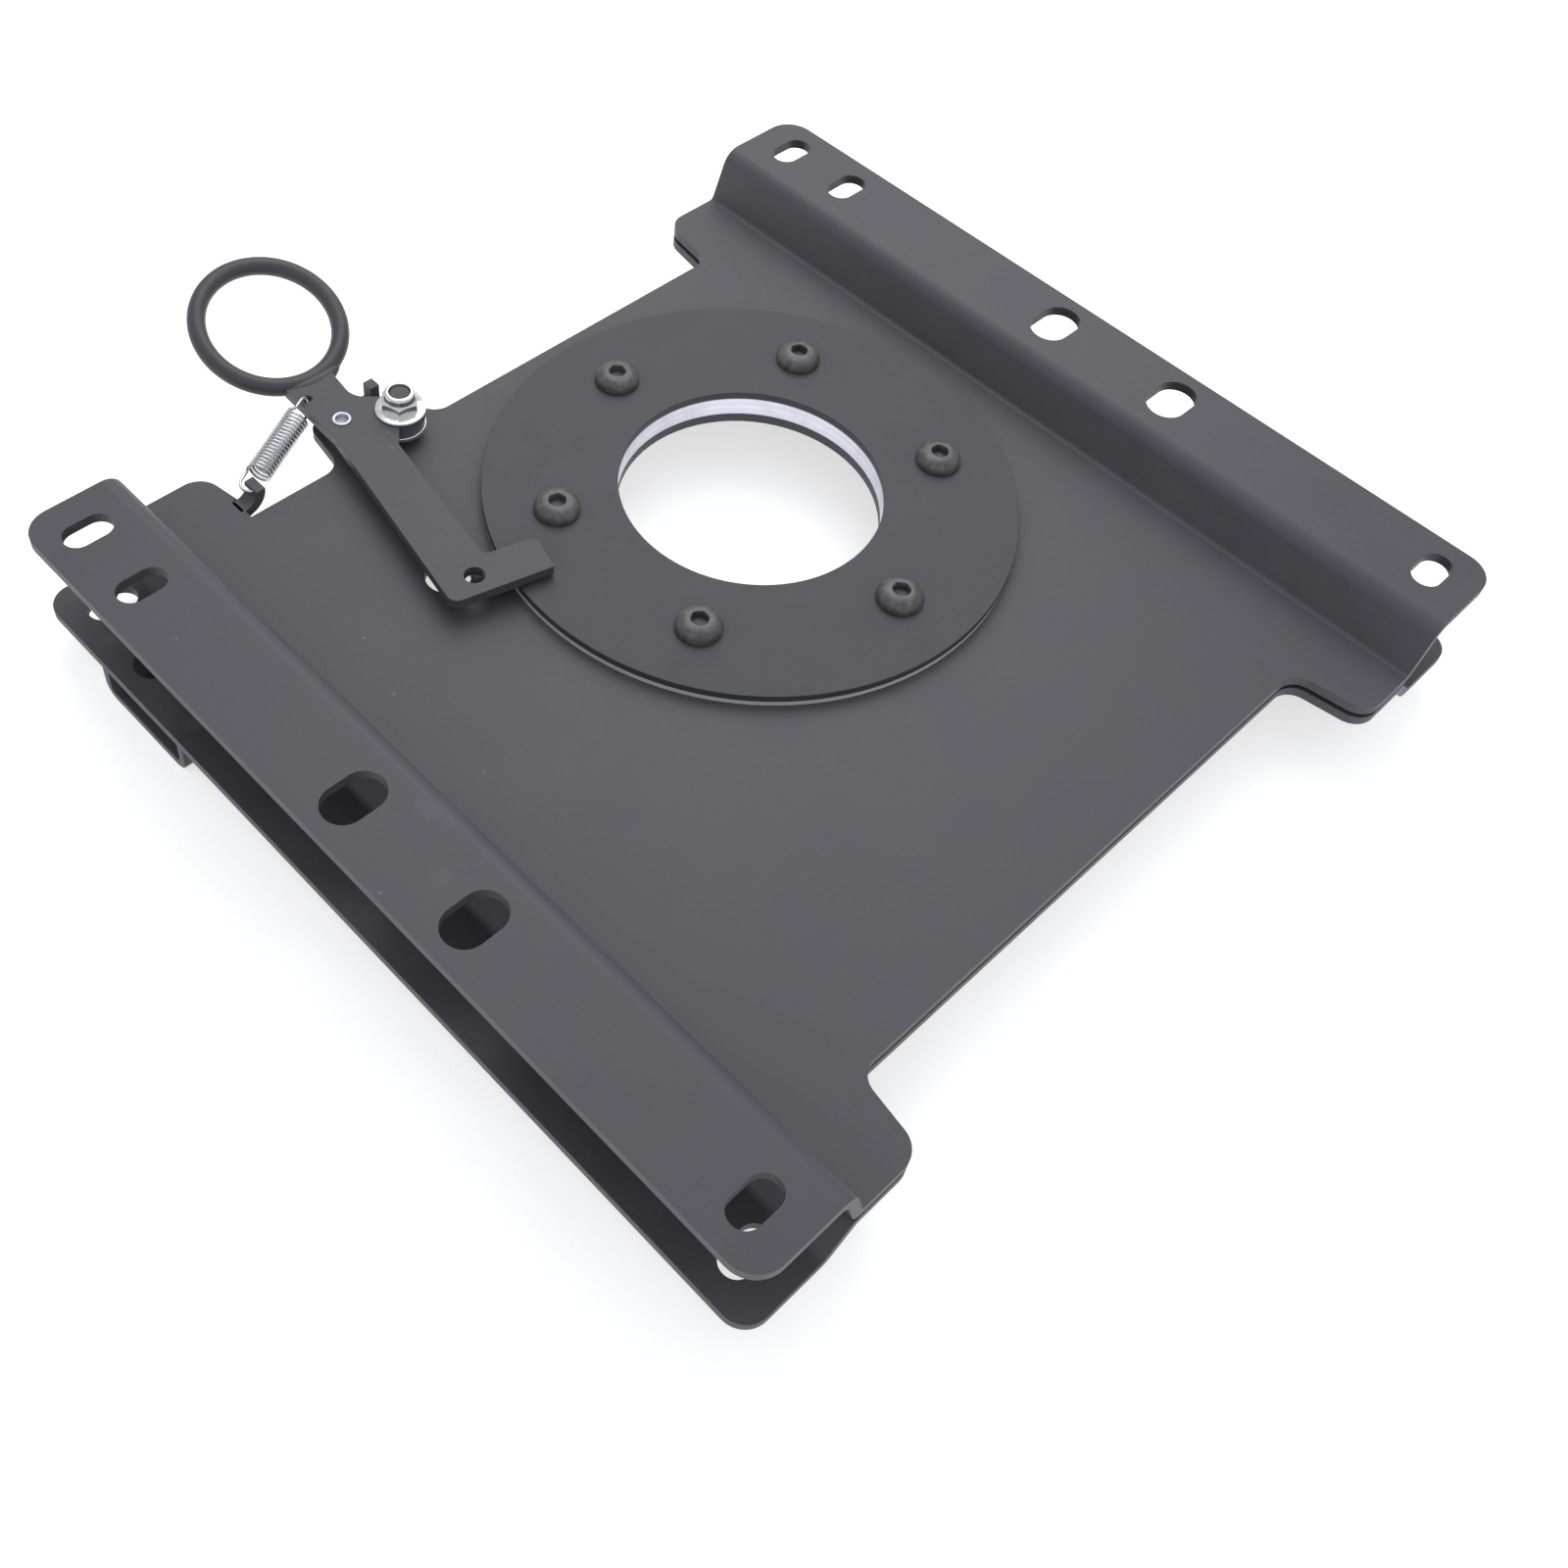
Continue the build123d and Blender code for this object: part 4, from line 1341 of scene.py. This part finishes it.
@dataclass
class ReturnSpring:
    """Extension spring from the tongue's hook to the lever's hole."""

    hook: Place = (-109.3, 156.6, 25.4)
    hole: Place = (-71.0, 174.4, 29.0)
    coil_r: float = 4.2
    wire_r: float = 0.56
    from_hook: float = 4.6
    from_hole: float = 8.2
    wrap: float = 36.0
    turns: int = 18
    turn_steps: int = 20
    bend: float = 1.2
    bend_steps: int = 6
    last_bend: float = 190.0
    tail: float = 3.0
    materials: Materials = field(kw_only=True)

    def build(self) -> None:
        """Bends the wire: hook loop, coil, and the loop through the lever."""
        start, end = Vector(self.hook) * MM, Vector(self.hole) * MM
        along = (end - start).normalized()
        side = Vector((0, 0, 1)).cross(along).normalized()
        up = along.cross(side).normalized()
        radius = self.coil_r * MM
        length = (end - start).length
        open_angle = math.radians(180.0 + self.wrap)
        first = start + radius * (math.cos(open_angle) * along + math.sin(open_angle) * side)
        heading = math.sin(open_angle) * along - math.cos(open_angle) * side
        wire = WireBender(self.wire_r * MM, first, heading)
        quarter = math.radians(90.0)
        wire.turn(start, up, quarter - open_angle, 18)
        bend = self.bend * MM
        wire.straight(self.from_hook * MM - bend)
        wire.turn(wire.tip + up * bend, along.cross(up), quarter, self.bend_steps)
        coil = length - (self.from_hook + self.from_hole) * MM
        axis_foot = start + along * (wire.tip - start).dot(along)
        spoke = wire.tip - axis_foot
        sense = 1.0 if along.cross(spoke).dot(wire.heading) > 0 else -1.0
        now = math.degrees(math.atan2(spoke.dot(up), spoke.dot(side)))
        lead = math.degrees(math.asin(self.bend / self.coil_r))
        rest = (sense * (90.0 - now) - lead) % 360.0
        whole = self.turns + rest / 360.0
        steps = int(whole * self.turn_steps)
        wire.turn(axis_foot, along, sense * math.tau * whole, steps, advance=along * coil)
        wire.turn(wire.tip + along * bend, wire.heading.cross(along), quarter, self.bend_steps)
        hub = end - along * radius
        wire.straight(max(0.2 * MM, (hub - wire.tip).dot(along)))
        last = math.radians(self.last_bend)
        wire.turn(hub, along.cross(hub - wire.tip).normalized(), last, self.turn_steps)
        wire.straight(self.tail * MM)
        spring = wire.cut("return_spring_wire", self.materials.spring)
        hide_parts("return_spring")
        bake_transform(spring)


@dataclass(frozen=True)
class Softbox:
    """A rectangular lamp: where it hangs and what it faces in metres, its sides, and its watts."""

    name: str
    place: Place
    aim: Place
    width: float
    depth: float
    power: float

    def hang(self) -> None:
        """Hangs the lamp in the scene."""
        data = bpy.data.lights.new(self.name, "AREA")
        data.shape = "RECTANGLE"
        data.size = self.width
        data.size_y = self.depth
        data.energy = self.power
        lamp = bpy.data.objects.new(self.name, data)
        lamp.location = self.place
        lamp.rotation_euler = (Vector(self.aim) - Vector(self.place)).to_track_quat("-Z", "Y").to_euler()
        bpy.context.scene.collection.objects.link(lamp)


@dataclass
class Studio:
    """Camera, lights, floor and background."""

    eye: Place = (-0.341208, -0.255409, 0.495379)
    lens: float = 41.114
    shift_x: float = 0.0712
    shift_y: float = -0.0768
    right: Place = (0.71833123, -0.69213387, 0.07036301)
    down: Place = (-0.50686307, -0.58994525, -0.62853355)
    ahead: Place = (0.47653968, 0.41583087, -0.77459319)
    floor_z: float = -0.0137
    floor_reach: float = 3.0
    floor_white: Colour = (0.8, 0.8, 0.8)
    floor_glow: float = 0.62
    sky: Colour = (0.94, 0.96, 1.0)
    sky_strength: float = 0.62
    lamps: tuple[Softbox, ...] = (
        Softbox("top_softbox", (0.5, 0.45, 0.95), (0.0, 0.0, 0.0), 1.0, 1.0, 6.0),
        Softbox("edge_softbox", (-1.1, -0.8, 0.06), (0.0, 0.0, 0.02), 0.5, 0.1, 0.8),
    )

    def build(self) -> None:
        """Sets the stage."""
        self._camera()
        self._world()
        self._floor()
        for lamp in self.lamps:
            lamp.hang()
        bpy.context.scene.view_settings.view_transform = "Standard"

    def _camera(self) -> None:
        """Places the camera at the photograph's viewing angle."""
        data = bpy.data.cameras.new("camera")
        data.lens = self.lens
        data.sensor_width = 36.0
        data.shift_x = self.shift_x
        data.shift_y = self.shift_y
        data.clip_start = 0.01
        turn = Matrix((self.right, [-v for v in self.down], [-v for v in self.ahead])).transposed()
        camera = bpy.data.objects.new("camera", data)
        camera.matrix_world = Matrix.Translation(self.eye) @ turn.to_4x4()
        bpy.context.scene.collection.objects.link(camera)
        bpy.context.scene.camera = camera

    def _world(self) -> None:
        """Lights the scene evenly and shows white to camera and transmission rays."""
        world = bpy.data.worlds.new("studio")
        world.use_nodes = True
        bpy.context.scene.world = world
        tree = NodeTree(world.node_tree)
        world.node_tree.nodes.clear()
        rays = tree.add("LightPath")
        seen = tree.math("MAXIMUM", rays.outputs["Is Camera Ray"], rays.outputs["Is Transmission Ray"])
        even = tree.add("Background")
        even.inputs["Color"].default_value = (*self.sky, 1.0)
        even.inputs["Strength"].default_value = self.sky_strength
        white = tree.add("Background")
        white.inputs["Color"].default_value = (1.0, 1.0, 1.0, 1.0)
        white.inputs["Strength"].default_value = 1.0
        pick = tree.add("MixShader")
        tree.join(seen, pick.inputs[0])
        tree.join(even.outputs[0], pick.inputs[1])
        tree.join(white.outputs[0], pick.inputs[2])
        out = tree.add("OutputWorld")
        tree.join(pick.outputs[0], out.inputs[0])

    def _floor(self) -> None:
        """Lays a plain white floor that keeps the object's shadow."""
        bm = bmesh.new()
        level = Matrix.Translation((0.0, 0.0, self.floor_z))
        bmesh.ops.create_grid(bm, x_segments=1, y_segments=1, size=self.floor_reach, matrix=level)
        mesh = bpy.data.meshes.new("floor")
        bm.to_mesh(mesh)
        bm.free()
        floor = bpy.data.objects.new("floor", mesh)
        bpy.context.scene.collection.objects.link(floor)
        floor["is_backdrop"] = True
        material = bpy.data.materials.new("floor_white")
        material.use_nodes = True
        material.node_tree.nodes.clear()
        tree = NodeTree(material.node_tree)
        diffuse = tree.add("BsdfDiffuse")
        diffuse.inputs["Color"].default_value = (*self.floor_white, 1.0)
        glow = tree.add("Emission")
        glow.inputs["Strength"].default_value = self.floor_glow
        rays = tree.add("LightPath")
        seen = tree.math("MAXIMUM", rays.outputs["Is Camera Ray"], rays.outputs["Is Glossy Ray"])
        seen = tree.math("MAXIMUM", seen, rays.outputs["Is Transmission Ray"])
        both = tree.add("AddShader")
        tree.join(diffuse.outputs[0], both.inputs[0])
        tree.join(glow.outputs[0], both.inputs[1])
        pick = tree.add("MixShader")
        tree.join(seen, pick.inputs[0])
        tree.join(diffuse.outputs[0], pick.inputs[1])
        tree.join(both.outputs[0], pick.inputs[2])
        out = tree.add("OutputMaterial")
        tree.join(pick.outputs[0], out.inputs[0])
        mesh.materials.append(material)


def main(cad_box: object) -> None:
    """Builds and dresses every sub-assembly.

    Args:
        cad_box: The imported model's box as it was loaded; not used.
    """
    logging.basicConfig(level=logging.INFO, format="%(name)s: %(message)s")
    materials = build_materials(Finishes(), EffectGroups())
    Studio().build()
    for part in (Plates, Turntable, Pivot, Lever, ReturnSpring):
        part(materials=materials).build()
        LOG.info("%s built", part.__name__)


if __name__ == "__main__":
    main(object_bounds())
